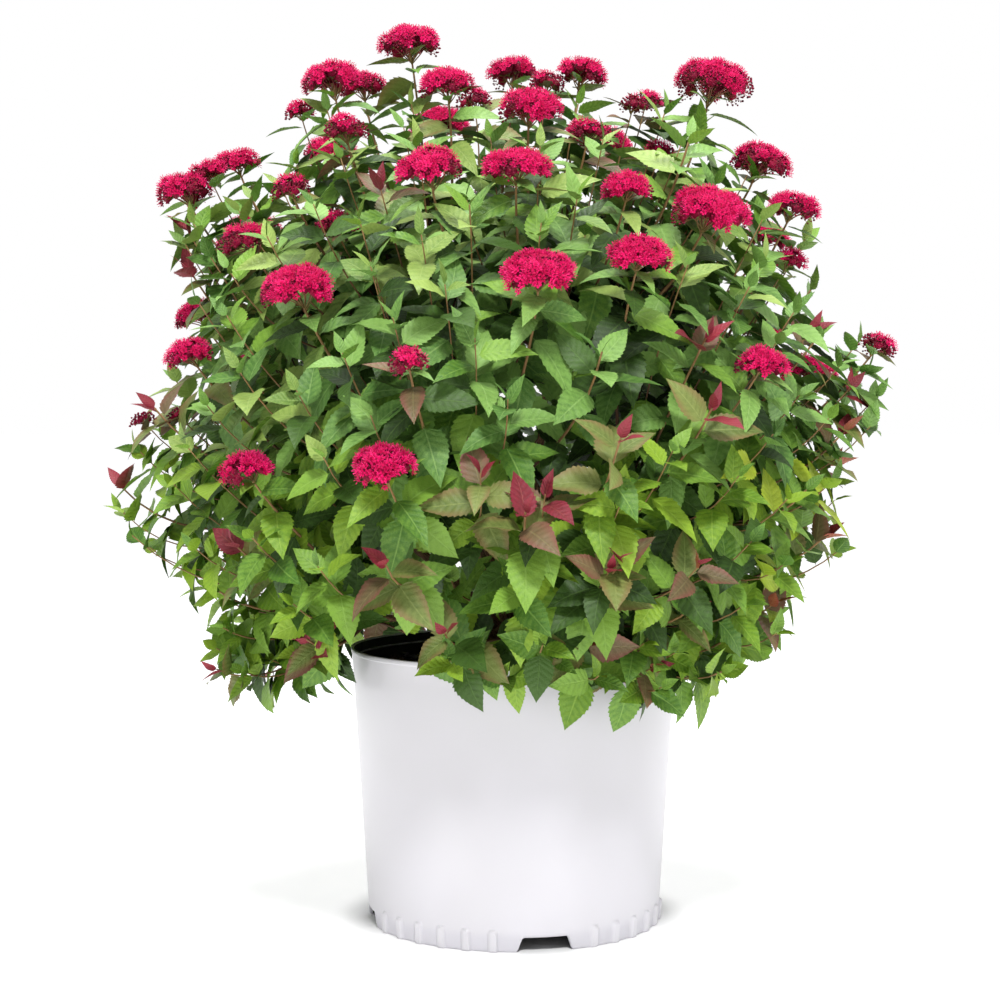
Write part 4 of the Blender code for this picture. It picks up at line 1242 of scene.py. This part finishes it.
def build_shoots(plan):
    """The woody stem of each mass, and the shoots that leave it."""
    stems = []
    for i, mass in enumerate(plan):
        foot, top = mass["stem"]
        path = np.linspace(foot - unit(top - foot) * STEM_SINK, top, STEM_RINGS)
        radii = np.linspace(mass["radii"][-1], STEM_TIP_RADIUS, STEM_RINGS)
        stems.append(bark_tube(path, radii, STEM_SIDES, i * 2.1))
    masses = mass_nodes(plan)
    points, polygons, uv = joined(stems)
    piece("woody_stems", points, polygons, bark_look(), masses, uv)
    shoots = [shoot for mass in plan for shoot in mass["shoots"]]
    paths = np.array([shoot["path"] for shoot in shoots])
    ends = [FINER_RADII if shoot["finer"] else SHOOT_RADII for shoot in shoots]
    radii = np.array([np.linspace(*pair, PATH_STATIONS) for pair in ends])
    skin = shoot_look("shoot_skin", srgb(80, 54, 38), srgb(134, 102, 62), 0.25, 0.95)
    points, polygons, uv = tubes(paths, radii, SHOOT_SIDES)
    piece("shoots", points, polygons, skin, masses, uv)


def leaf_width(share):
    """Half the blade's width along it, as a share of the greatest: share^a (1 - share)^b over its
    own peak, which is round at the stalk and drawn out to a point."""
    widest = BLADE_SWELL / (BLADE_SWELL + BLADE_TAPER)
    peak = widest**BLADE_SWELL * (1 - widest) ** BLADE_TAPER
    return share**BLADE_SWELL * (1 - share) ** BLADE_TAPER / peak


def leaf_faces():
    """Faces of one leaf: quads between its rows, triangles to its tip and its stalk's root, and a
    tooth on each edge of each row but the first and the last."""
    rows, columns = len(LEAF_ROWS), len(LEAF_COLUMNS)
    row, column = np.indices((rows - 1, columns - 1)).reshape(2, -1)
    at = row * columns + column
    quads = np.stack((at, at + columns, at + columns + 1, at + 1), axis=1)
    tip, root, last = rows * columns, rows * columns + 1, (rows - 1) * columns
    side = np.arange(columns - 1)
    to_tip = np.stack((last + side, np.full(len(side), tip), last + side + 1), axis=1)
    to_root = np.stack((side + 1, np.full(len(side), root), side), axis=1)
    row = np.arange(1, rows - 1)
    left_tooth = root + row
    right_tooth = left_tooth + rows - 2
    left = np.stack((row * columns, left_tooth, (row + 1) * columns), axis=1)
    right = np.stack((row * columns + columns - 1, (row + 1) * columns + columns - 1, right_tooth), axis=1)
    return quads, np.concatenate((to_tip, to_root, left, right))


def leaf_points(leaves):
    """The points of many leaves at once. A leaf's middle line is an arc that bends down by its arch
    and aside by its sweep. Its blade rises from that line to both edges like a shallow V whose
    sides are hollowed, with a wave along the edge. The teeth stand out from the edge, forwards."""
    rows = LEAF_ROWS
    teeth = rows[1:-1] + np.diff(rows)[1:] * TOOTH_AHEAD
    side = leaf_width(rows)[:, None] * LEAF_COLUMNS
    side[0] = LEAF_COLUMNS * STALK_WIDTH
    edge = leaf_width(teeth) + 2 * TOOTH * np.sqrt(leaf_width(teeth)) * (TOOTH_FADE - teeth)
    ends = (1.0, -PETIOLE / (1 - PETIOLE))
    along = np.concatenate((np.repeat(rows, len(LEAF_COLUMNS)), ends, teeth, teeth))
    aside = np.concatenate((side.ravel(), (0.0, 0.0), -edge, edge))
    along = PETIOLE + (1 - PETIOLE) * along
    one = np.ones(len(teeth))
    column = np.concatenate((np.tile(LEAF_COLUMNS, len(rows)), (0, 0), -one, one))
    length = leaves["length"][:, None]
    half = length * leaves["shape"][:, None] / 2
    arch = leaves["arch"][:, None]
    forward = np.sin(arch * along) / arch * length
    down = (1 - np.cos(arch * along)) / arch * length
    sweep = leaves["sweep"][:, None] * along**2 * length
    hollow = np.abs(aside) - HOLLOW * aside**2
    wave = leaves["wave"][:, None] * np.sin(along * EDGE_WAVES + leaves["phase"][:, None]) * aside**2
    rise = (leaves["fold"][:, None] * hollow + wave) * half
    points = leaves["root"][:, None] + leaves["ahead"][:, None] * forward[..., None]
    points = points + leaves["side"][:, None] * (aside * half + sweep)[..., None]
    points = points + leaves["face"][:, None] * (rise - down)[..., None]
    uv = np.stack((along, 0.5 + column / 2), axis=-1)
    return points, np.broadcast_to(uv, points.shape[:2] + (2,))


def leaf_stations(length, flowers, width):
    """How far each leaf stands below its shoot's tip. The gaps are short at the tip, where leaves
    crowd into a star, and widen evenly down the shoot."""
    rank = np.arange(MOST_LEAVES)
    below = (FLOWER_GAP if flowers else TIP_GAP) * rank + GAP_GROWTH * rank**2
    below = below + (HEAD_NECK * width if flowers else BUD_NECK)
    return below[below < length * (1 - FIRST_LEAF)]


def leaves_on(shoot, random):
    """Where the leaves of one shoot stand, and how: they spiral up it at the golden turn, stand off
    less towards its end, and in front turn their faces to the light that comes from there. Returns
    arrays by name, one row a leaf, with rank 0 at the tip."""
    path = shoot["path"]
    steps = np.linalg.norm(np.diff(path, axis=0), axis=1)
    travelled = np.concatenate(([0], np.cumsum(steps))) / steps.sum()
    flowers, young = shoot["width"] > 0, shoot["young"]
    share = 1 - leaf_stations(steps.sum(), flowers, shoot["width"]) / steps.sum()
    count = len(share)
    rank = np.arange(count).astype(float)
    share = share + random.uniform(-STATION_SCATTER, STATION_SCATTER, count) * np.minimum(rank, 2)
    height = np.interp(path[-1, 2], LEAF_HEIGHTS, (0.0, 1.0))
    places = np.stack([np.interp(share, travelled, path[:, axis]) for axis in range(3)], axis=1)
    headings = unit(np.gradient(path, axis=0))
    along = unit(np.stack([np.interp(share, travelled, headings[:, axis]) for axis in range(3)], axis=1))
    across = unit(np.cross(along, ASKEW))
    other = np.cross(along, across)
    angle = random.uniform(0, 2 * math.pi) - rank * GOLDEN_TURN + random.normal(0, TURN_SCATTER, count)
    aside = across * np.cos(angle)[:, None] + other * np.sin(angle)[:, None]
    habit = HABITS["under flowers" if flowers else "young" if young else "green"]
    spread, size, slim, droop = (np.interp(rank, habit["ranks"], habit[key])
                                 for key in ("spread", "size", "slim", "droop"))
    spread = np.radians(spread + random.normal(0, SPREAD_SCATTER, count))
    size = size * np.interp(share, *INNER_SIZES) * random.uniform(*SIZE_RANGE, count)
    if shoot["finer"] and not flowers:
        size = size * FINER_SIZE
    droop = droop * random.uniform(*DROOP_RANGE, count) * np.interp(height, (0, 1), DROOPS)
    ahead = unit(aside * np.sin(spread)[:, None] + along * np.cos(spread)[:, None] - UP * droop[:, None])
    lit = FRONT_LIGHT * smooth_step((FRONT_FADE[0] - places[:, 1]) / FRONT_FADE[1])
    face = along + UP * (FACE_UP + FACE_UP_LOW * (1 - height)) + random.normal(0, LEAF_ROLL, (count, 3))
    face[:, 1] -= lit * (1 - FRONT_LESS_HIGH * height)
    if not flowers:
        face = face - aside * np.interp(rank, *TIP_CUPS)[:, None]
    face = unit(face - ahead * (face * ahead).sum(axis=1, keepdims=True))
    return {
        "root": places, "ahead": ahead, "face": face, "side": np.cross(face, ahead),
        "length": np.interp(height, (0, 1), LEAF_LENGTHS) * size,
        "shape": np.interp(height, (0, 1), LEAF_SHAPES) * slim * random.uniform(*SHAPE_RANGE, count),
        "arch": random.uniform(*ARCH_RANGE, count) * np.interp(rank, *TIP_ARCHES),
        "sweep": random.normal(0, SWEEP_SCATTER, count), "fold": random.uniform(*FOLD_RANGE, count),
        "wave": random.uniform(*WAVE_RANGE, count), "phase": random.uniform(*ANY_PHASE, count),
        "tone": random.uniform(0.0, 1.0, count), "rank": rank, "share": share,
        "young": np.full(count, float(young)), "flowers": np.full(count, float(flowers)),
        "luck": random.uniform(0, 1, count), "in_bud": np.full(count, float(shoot["open"] < IN_BUD_BELOW)),
    }


def as_seen(points):
    """Where points stand across and up in the plane of the pot's axis, when seen from SIGHT."""
    share = -SIGHT[1] / (points[..., 1] - SIGHT[1])
    return (points[..., 0] - SIGHT[0]) * share + SIGHT[0], (points[..., 2] - SIGHT[2]) * share + SIGHT[2]


def at_bare_rim(points):
    """For each row of points, whether any covers the stretch of rim that shows from SIGHT."""
    across, up = as_seen(points)
    (left, right), (low, high) = BARE_RIM
    return ((points[..., 1] < 0) & (across > left) & (across < right) & (up > low) & (up < high)).any(axis=-1)


def inside_outline(points, margin=0.0):
    """For each row of points, whether all stay within the crown's seen outline by a margin."""
    across, up = as_seen(points)
    heights, left, right = np.array(SEEN_REACH).T
    return ((across > np.interp(up, heights, left) + margin)
            & (across < np.interp(up, heights, right) - margin)).all(axis=-1)


def all_leaves(plan, limbs, heads):
    """Every leaf that finds room: within the crown's reach, clear of pot and boughs, and out of the
    flower heads."""
    random = np.random.default_rng((SEED, 70))
    rows = [leaves_on(shoot, random) for mass in plan for shoot in mass["shoots"]]
    leaves = {key: np.concatenate([row[key] for row in rows]) for key in rows[0]}
    length, side = leaves["length"][:, None], leaves["side"]
    half = leaves["length"] * leaves["shape"] / 2
    samples = []
    for along, aside in LEAF_SAMPLES:
        down = leaves["arch"][:, None] * along**2 / 2 * length
        samples.append(leaves["root"] + leaves["ahead"] * length * along - leaves["face"] * down
                       + side * (half * aside)[:, None])
    samples = np.stack(samples, axis=1)
    kept = within_reach(samples) & clear_of_pot(samples) & ~at_bare_rim(samples) & inside_outline(samples)
    batches = np.array_split(samples, BATCHES)
    kept &= np.concatenate([limbs.clear_of_boughs(part).all(axis=1) for part in batches])
    lift, half_width, half_height = FLOWER_ROOM
    for head in heads:
        off = samples[:, 1:] - (head["tip"] + head["axis"] * head["width"] * lift)
        rise = off @ head["axis"]
        level = np.linalg.norm(off - rise[..., None] * head["axis"], axis=-1)
        inside = (level / (head["width"] * half_width)) ** 2 + (rise / (head["width"] * half_height)) ** 2 < 1
        kept &= ~inside.any(axis=1)
    return {key: value[kept] for key, value in leaves.items()}


TINTS = {  # name: blade, its darkest tone, veins, and what reddens its edges
    # the darkest green: for some older leaves, and as painted shade for leaves inside the crown
    "deep": (srgb(66, 98, 34), srgb(36, 58, 20), srgb(90, 122, 54), None),
    "cool": (srgb(126, 165, 80), srgb(70, 110, 44), srgb(148, 182, 104), None),
    "mid": (srgb(123, 161, 58), srgb(66, 108, 34), srgb(146, 182, 86), None),
    "olive": (srgb(148, 172, 86), srgb(94, 126, 52), srgb(164, 186, 108), None),
    "yellow": (srgb(143, 176, 52), srgb(92, 132, 34), srgb(162, 192, 80), None),
    "bright": (srgb(176, 194, 54), srgb(136, 164, 40), srgb(190, 206, 86), None),
    "bronze": (srgb(126, 138, 72), srgb(90, 108, 48), srgb(146, 158, 90), srgb(128, 96, 64)),
    "mauve": (srgb(122, 100, 70), srgb(92, 82, 52), srgb(136, 128, 84), srgb(126, 68, 62)),
    "crimson": (srgb(148, 48, 60), srgb(108, 36, 44), srgb(156, 80, 70), srgb(132, 38, 56)),
    "orange": (srgb(164, 92, 62), srgb(130, 72, 46), srgb(170, 122, 78), srgb(150, 60, 56)),
}


def tint_of(leaves):
    """Which tint each leaf has, by its place on its shoot and on the plant, and by its luck, a draw
    between 0 and 1. The rules are taken in order, and the last that fits a leaf holds."""
    rank, luck, share = (leaves[key] for key in ("rank", "luck", "share"))
    across, height = leaves["root"][:, 0], leaves["root"][:, 2]
    young, flowers, in_bud = (leaves[key] > 0 for key in ("young", "flowers", "in_bud"))
    low_border, high_border, side_border = (width * (luck - 0.5) for width in BORDERS)
    low = height < LOW_LEAVES + low_border
    high = height > HIGH_LEAVES + high_border
    left = across + side_border < LEFT_LEAVES
    right = across + side_border > RIGHT_LEAVES
    outer = np.abs(across - CROWN_X) > OUTER_LEAVES
    rusty = low & (across > RUSTY_LEAVES)
    rules = (
        ("cool", ~low),
        ("mid", low),
        ("olive", high & (luck < 0.35)),
        ("mid", ~low & (luck > 0.70)),
        ("yellow", low & (luck < np.where(left, 0.60, 0.38))),
        ("olive", ~low & left & (luck < 0.40)),
        # dark leaves: older ones at random, and as painted shade the inner half of each shoot, less at the
        # crown's sides
        ("deep", (luck > np.where(outer, 0.88, 0.80)) & (rank > 3)),
        ("deep", (share < 0.50) & (luck > np.where(outer, 0.50, 0.25))),
        ("bright", low & right & (luck < 0.45)),
        ("yellow", ~young & ~flowers & (rank < 3) & low & (luck < 0.50)),
        ("bronze", young & (rank < 8) & (luck < 0.30)),
        ("bronze", young & (rank < 6) & (luck < 0.60)),
        ("mauve", young & (rank < 4) & (luck > 0.35)),
        ("crimson", young & (rank < 3) & (luck > 0.55) & ~rusty),
        ("crimson", young & (rank < 2)),
        ("orange", young & (rank < 2) & (luck > 0.45) & rusty),
        ("bronze", flowers & (rank < 5) & (luck < np.where(height > 0.60, 0.42, 0.14))),
        ("mauve", flowers & (rank < 4) & in_bud & (luck > 0.35)),
    )
    tint = np.full(len(luck), "cool", dtype="U8")
    for name, chosen in rules:
        tint[chosen] = name
    return tint


def build_leaves(plan, leaves):
    """The leaves as pieces, one for each tint."""
    masses = mass_nodes(plan)
    quads, triangles = leaf_faces()
    tint = tint_of(leaves)
    for name, (blade, dark, vein, redden) in TINTS.items():
        chosen = {key: value[tint == name] for key, value in leaves.items()}
        count = len(chosen["root"])
        if count == 0:
            continue
        points, uv = leaf_points(chosen)
        size = points.shape[1]
        polygons = [repeated(quads, count, size), repeated(triangles, count, size)]
        look = leaf_look(f"leaf_{name}", blade, dark, vein, redden)
        tone = np.repeat(chosen["tone"], size)
        piece(f"leaves_{name}", points, polygons, look, masses, uv, tone)


def frames_about(axis):
    """Two unit vectors square to each of the given ones."""
    across = unit(np.cross(axis, np.where(np.abs(axis[..., 2:]) < 0.9, (0.0, 0.0, 1.0), (1.0, 0.0, 0.0))))
    return across, np.cross(axis, across)


def in_frame(shape, places, axis, spin, scale):
    """Copies of a shape, (points, 3), at places, with its Z along each axis, spun and scaled."""
    across, other = frames_about(axis)
    cos, sin = np.cos(spin)[:, None], np.sin(spin)[:, None]
    first, second = across * cos + other * sin, other * cos - across * sin
    shape = shape[None] * np.asarray(scale)[:, None, None]
    return places[:, None] + (
        shape[..., :1] * first[:, None] + shape[..., 1:2] * second[:, None] + shape[..., 2:] * axis[:, None]
    )


def petal_shape():
    """Five cupped petals, as points and triangles."""
    points, faces = [], []
    for i in range(5):
        turn = 2 * math.pi * i / 5
        for radius, angle, rise in PETAL_OUTLINE:
            points.append((radius * math.cos(turn + angle), radius * math.sin(turn + angle), rise))
        base = len(PETAL_OUTLINE) * i
        faces += [(base, base + k, base + k + 1) for k in range(1, len(PETAL_OUTLINE) - 1)]
    return np.array(points) * MM, np.array(faces)


def cup_shape():
    """The flower's cup: two cones on one ring, the lower one its foot and the upper one its eye."""
    turn = np.linspace(0, 2 * math.pi, 3, endpoint=False)
    ring = np.stack((np.cos(turn) * 0.95, np.sin(turn) * 0.95, np.full(3, 0.15)), axis=1)
    points = np.concatenate((ring, ((0, 0, -1.3), (0, 0, 0.45)))) * MM
    beside = (np.arange(3) + 1) % 3
    under = np.stack((np.full(3, 3), beside, np.arange(3)), axis=1)
    over = np.stack((np.full(3, 4), np.arange(3), beside), axis=1)
    return points, np.concatenate((under, over))


def stamen_shape(random):
    """Stamens that lean out of the flower: each a slim three-sided club, from a point at its foot
    to a small flat anther."""
    points, faces = [], []
    for i in range(STAMENS):
        turn = 2 * math.pi * (i + random.uniform(-0.3, 0.3)) / STAMENS
        out = np.array((math.cos(turn), math.sin(turn), 0.0))
        side = np.array((-out[1], out[0], 0.0))
        top = out * random.uniform(1.0, 2.9) + UP * random.uniform(2.3, 3.8)
        a = len(points)
        points += [out * 0.4 + UP * 0.2, top + out * ANTHER, top - out * ANTHER / 2 + side * ANTHER,
                   top - out * ANTHER / 2 - side * ANTHER + UP * ANTHER]
        faces += [(a, a + 2, a + 1), (a, a + 3, a + 2), (a, a + 1, a + 3), (a + 1, a + 2, a + 3)]
    return np.array(points) * MM, np.array(faces)


def bud_shape():
    """A round bud: two rings of four points and two poles."""
    turn = np.linspace(0, 2 * math.pi, 4, endpoint=False)
    rings = []
    for level, shift in ((-0.45, 0.0), (0.45, math.pi / 4)):
        radius = math.sqrt(1 - level**2)
        rings.append(np.stack((np.cos(turn + shift) * radius, np.sin(turn + shift) * radius,
                               np.full(4, level)), axis=1))
    points = np.concatenate(rings + [np.array(((0, 0, -1.0), (0, 0, 1.05)))])
    quads, triangles = ring_faces(2, 4)
    return points * MM, quads, triangles


def all_heads(plan):
    """Each flower head: its shoot's end, the way that runs, and the head's own more upright axis."""
    heads = []
    for mass in plan:
        for shoot in mass["shoots"]:
            if shoot["width"] > 0:
                tip = shoot["path"][-1]
                along = unit(tip - shoot["path"][-2])
                heads.append({"tip": tip, "along": along, "axis": unit(along + UP * HEAD_UPRIGHT),
                              "width": shoot["width"], "open": shoot["open"]})
    return heads


def cluster_flowers(top, facing, hub, size, opened, random):
    """The florets, and then the buds, of one cluster, each as (place, axis, hub). They stand on a
    golden spiral over a dome: share = square root of rank by count, out = size share, and rise =
    dome (1 - share^2). They lean out with their share."""
    across, other = frames_about(facing[None])
    count = max(LEAST_COUNT, round((size / (FLORET_PITCH if opened else BUD_PITCH)) ** 2))
    share = np.sqrt((np.arange(count) + 0.4) / count)
    angle = np.arange(count) * GOLDEN_TURN + random.uniform(*ANY_PHASE)
    spoke = across * np.cos(angle)[:, None] + other * np.sin(angle)[:, None]
    dome = CLUSTER_DOME * size * (1 - share**2) + random.normal(0, DOME_SCATTER, count)
    place = top + spoke * (size * share)[:, None] + facing * dome[:, None]
    way = unit(facing + spoke * (FLOWER_LEAN * share)[:, None])
    is_bud = (random.uniform(0, 1, count) < UNOPENED[0] + UNOPENED[1] * share**3) | ~opened
    hub = np.broadcast_to(hub, place.shape)
    return tuple((place[some], way[some], hub[some]) for some in (~is_bud, is_bud))


def head_flowers(head, random):
    """One flower head. Clusters stand on a golden spiral over a dome, x = width sin(a), z = height
    cos(a), and each is a smaller dome of florets or buds. Those at the rim open last. Returns each
    cluster's curved stalk, (place, axis, hub) of florets and buds, and (place, axis, size) of the
    crowded cups at the heart of each cluster."""
    width = head["width"]
    axis = head["axis"][None]
    across, other = frames_about(axis)
    clusters = max(LEAST_COUNT, round(width / CLUSTER_PITCH))
    rank = np.arange(clusters)
    lean = HEAD_LEAN * np.sqrt((rank + 0.3) / clusters) * random.uniform(*LEAN_RANGE, clusters)
    turn = rank * GOLDEN_TURN + random.uniform(*ANY_PHASE) + random.normal(0, CLUSTER_TURN_SCATTER, clusters)
    out = across * np.cos(turn)[:, None] + other * np.sin(turn)[:, None]
    level = HEAD_HALF_WIDTH * width * np.sin(lean)
    rise = HEAD_RISE * np.cos(lean) - HEAD_SINK + random.normal(0, CLUSTER_RISE_SCATTER, clusters)
    tops = head["tip"] + out * level[:, None] + axis * (rise * width)[:, None]
    facing = unit(axis * np.cos(lean)[:, None] + out * np.sin(lean)[:, None])
    radius = CLUSTER_SHARE * width / math.sqrt(clusters) * random.uniform(*CLUSTER_SIZES, clusters)
    hubs = tops - facing * radius[:, None] * HUB_DEPTH
    root = head["tip"] - head["along"] * width * random.uniform(*STALK_ROOTS, (clusters, 1))
    pull = root + axis * width * STALK_PULL[0] + out * level[:, None] * STALK_PULL[1]
    stalks = bend(root[:, None], pull[:, None], hubs[:, None], STALK_STATIONS)
    opened = rank / clusters + random.normal(0, OPENING_SCATTER, clusters) < head["open"] * FULLY_OPEN
    groups = [cluster_flowers(*row, random) for row in zip(tops, facing, hubs, radius, opened)]
    florets, buds = (tuple(np.concatenate(part) for part in zip(*group)) for group in zip(*groups))
    heart_size = radius * np.where(opened, *HEART_SHARES)
    return stalks, florets, buds, (tops - facing * radius[:, None] * HEART_DEPTH, facing, heart_size)


def add_copies(name, shape, faces, look, masses, copies, smooth=True):
    """A piece made of copies of one shape, each with its place, axis, spin, scale and tone."""
    place, axis, spin, scale, tone = copies
    points = in_frame(shape, place, axis, spin, scale)
    polygons = [repeated(part, len(points), len(shape)) for part in faces]
    tone = np.repeat(tone, len(shape))
    piece(name, points, polygons, look, masses, tone=tone, smooth=smooth)


def build_heads(plan, heads):
    """The flower heads as pieces, one for each kind of thing in them."""
    masses = mass_nodes(plan)
    random = np.random.default_rng((SEED, 80))
    stalks, florets, buds, hearts = zip(*(head_flowers(head, random) for head in heads))
    stalks = np.concatenate(stalks)
    place, axis, hub = (np.concatenate(part) for part in zip(*florets))
    bud_place, bud_axis, bud_hub = (np.concatenate(part) for part in zip(*buds))
    heart_place, heart_axis, heart_size = (np.concatenate(part) for part in zip(*hearts))

    def drawn(count, least=0.0, most=1.0):
        return random.uniform(least, most, count)

    count = len(place)
    copies = (place, axis, drawn(count, 0, 2 * math.pi), drawn(count, *FLORET_SCALES), drawn(count))
    petals = bloom_look("petal_crimson", srgb(166, 0, 58), srgb(216, 8, 94), 500.0, 0.60)
    shape, faces = petal_shape()
    add_copies("petals", shape, [faces], petals, masses, copies)
    stamens = bloom_look("stamen_pink", srgb(192, 6, 80), srgb(234, 56, 126), 900.0, 0.60)
    shape, faces = stamen_shape(random)
    for number, part in ((1, slice(0, count // 2)), (2, slice(count // 2, None))):
        some = [row[part] for row in copies]
        add_copies(f"stamens_{number}", shape, [faces], stamens, masses, some, smooth=False)
    cup = bloom_look("flower_cup", srgb(104, 8, 38), srgb(146, 12, 56), 500.0, 0.60)
    shape, faces = cup_shape()
    add_copies("flower_cups", shape, [faces], cup, masses, copies)

    ball, *faces = bud_shape()
    count = len(bud_place)
    maroon = bloom_look("bud_maroon", srgb(82, 20, 40), srgb(146, 22, 58), 400.0, 0.45)
    copies = (bud_place, bud_axis, np.zeros(count), drawn(count, *BUD_SCALES), drawn(count))
    add_copies("flower_buds", ball, faces, maroon, masses, copies)
    count = len(heart_size)
    heart = bloom_look("flower_heart", srgb(92, 6, 34), srgb(144, 10, 54), 900.0, 0.60)
    copies = (heart_place, heart_axis, np.zeros(count), heart_size / MM, drawn(count))
    add_copies("flower_hearts", ball * (1, 1, HEART_FLATNESS), faces, heart, masses, copies)

    floret_ends = np.stack((hub, place), axis=1)[::FLORETS_A_STALK]
    bud_ends = np.stack((bud_hub, bud_place), axis=1)[::BUDS_A_STALK]
    thin = np.concatenate((floret_ends, bud_ends))
    skin = shoot_look("flower_stalk_skin", srgb(124, 104, 62), srgb(142, 60, 62), 0.1, 1.0)
    thickness = np.linspace(*STALK_RADII, STALK_STATIONS)
    parts = [tubes(stalks, np.broadcast_to(thickness, stalks.shape[:2]), 4),
             tubes(thin, np.broadcast_to(FLORET_STALK_RADII, thin.shape[:2]), 3)]
    points, polygons, uv = joined(parts)
    piece("flower_stalks", points, polygons, skin, masses, uv)


def area_light(name, place, aim, size, power):
    """A round lamp that looks at a point."""
    data = bpy.data.lights.new(name, "AREA")
    data.shape, data.size, data.energy = "DISK", size, power
    lamp = bpy.data.objects.new(name, data)
    lamp.location = place
    lamp.rotation_euler = (Vector(aim) - Vector(place)).to_track_quat("-Z", "Y").to_euler()
    bpy.context.scene.collection.objects.link(lamp)


def floor_look():
    """White paper that glows as painted light and so also lights the plant from below, but not
    where the pot stands, which leaves a painted shadow round its foot."""
    made, start, link = new_look("studio_paper", specular_ior_level=0.1, emission_strength=PAINTED_FLOOR_GLOW)
    place = place_of(start)
    grain = place.noise(40.0, 2.0)
    off = place.node("ShaderNodeVectorMath", {"operation": "LENGTH"}, {0: place}, "Value")
    link(base_color=grain.fade(0.2, 0.8).blend(srgb(250, 250, 250), srgb(254, 254, 254)),
         # painted shadow: no glow within GLOW_FROM_POT of the pot's axis
         emission_color=off.fade(*GLOW_FROM_POT).blend((0.0, 0.0, 0.0, 1.0), (1.0, 1.0, 1.0, 1.0)),
         roughness=0.9 + grain * 0.05)
    return made


def build_stage():
    """A flat sheet of white studio paper in a white room that darkens, high up, to the front and
    the sides, then the lamps and the camera."""
    lines = PAPER_SQUARES + 1
    across = np.linspace(-PAPER_REACH, PAPER_REACH, lines)
    points = np.stack(np.meshgrid(across, across, (0.0,), indexing="ij"), axis=-1).reshape(-1, 3)
    row, column = np.indices((PAPER_SQUARES, PAPER_SQUARES)).reshape(2, -1)
    at = row * lines + column
    mesh = bpy.data.meshes.new("studio_paper")
    mesh.from_pydata(points.tolist(), [], np.stack((at, at + lines, at + lines + 1, at + 1), axis=1).tolist())
    mesh.materials.append(floor_look())
    paper = bpy.data.objects.new("studio_paper", mesh)
    bpy.context.scene.collection.objects.link(paper)

    world = bpy.data.worlds.new("studio")
    world.use_nodes = True
    background = world.node_tree.nodes["Background"]
    sky = Socket(world.node_tree)
    way = sky.node("ShaderNodeTexCoord", output="Generated")
    side = sky.node("ShaderNodeSeparateXYZ", None, {"Vector": way}, "X").size()
    behind = sky.node("ShaderNodeSeparateXYZ", None, {"Vector": way}, "Y").fade(*ROOM_DARKENS_FRONT)
    above = sky.node("ShaderNodeSeparateXYZ", None, {"Vector": way}, "Z").fade(*ROOM_DARKENS_UP)
    walls = side.fade(*ROOM_DARKENS_SIDE).blend(behind.blend(ROOM_FRONT, ROOM_WHITE), ROOM_SIDES)
    shade = above.blend(ROOM_WHITE, walls)
    world.node_tree.links.new(shade.output, background.inputs["Color"])
    bpy.context.scene.world = world
    bpy.context.scene.view_settings.view_transform = "Standard"
    for lamp in LAMPS:
        area_light(*lamp)

    data = bpy.data.cameras.new("camera")
    data.lens, data.sensor_width = CAMERA_LENS, SENSOR_WIDTH
    camera = bpy.data.objects.new("camera", data)
    camera.location = SIGHT
    camera.rotation_euler = (math.pi / 2 - CAMERA_PITCH, 0.0, 0.0)
    bpy.context.scene.collection.objects.link(camera)
    bpy.context.scene.camera = camera


def main():
    """Builds the stage and then the plant, from the pot up."""
    build_stage()
    build_pot_and_soil()
    plan = plan_crown()
    limbs = grow_shoots(plan)
    build_boughs(plan)
    build_shoots(plan)
    heads = all_heads(plan)
    build_leaves(plan, all_leaves(plan, limbs, heads))
    build_heads(plan, heads)


main()
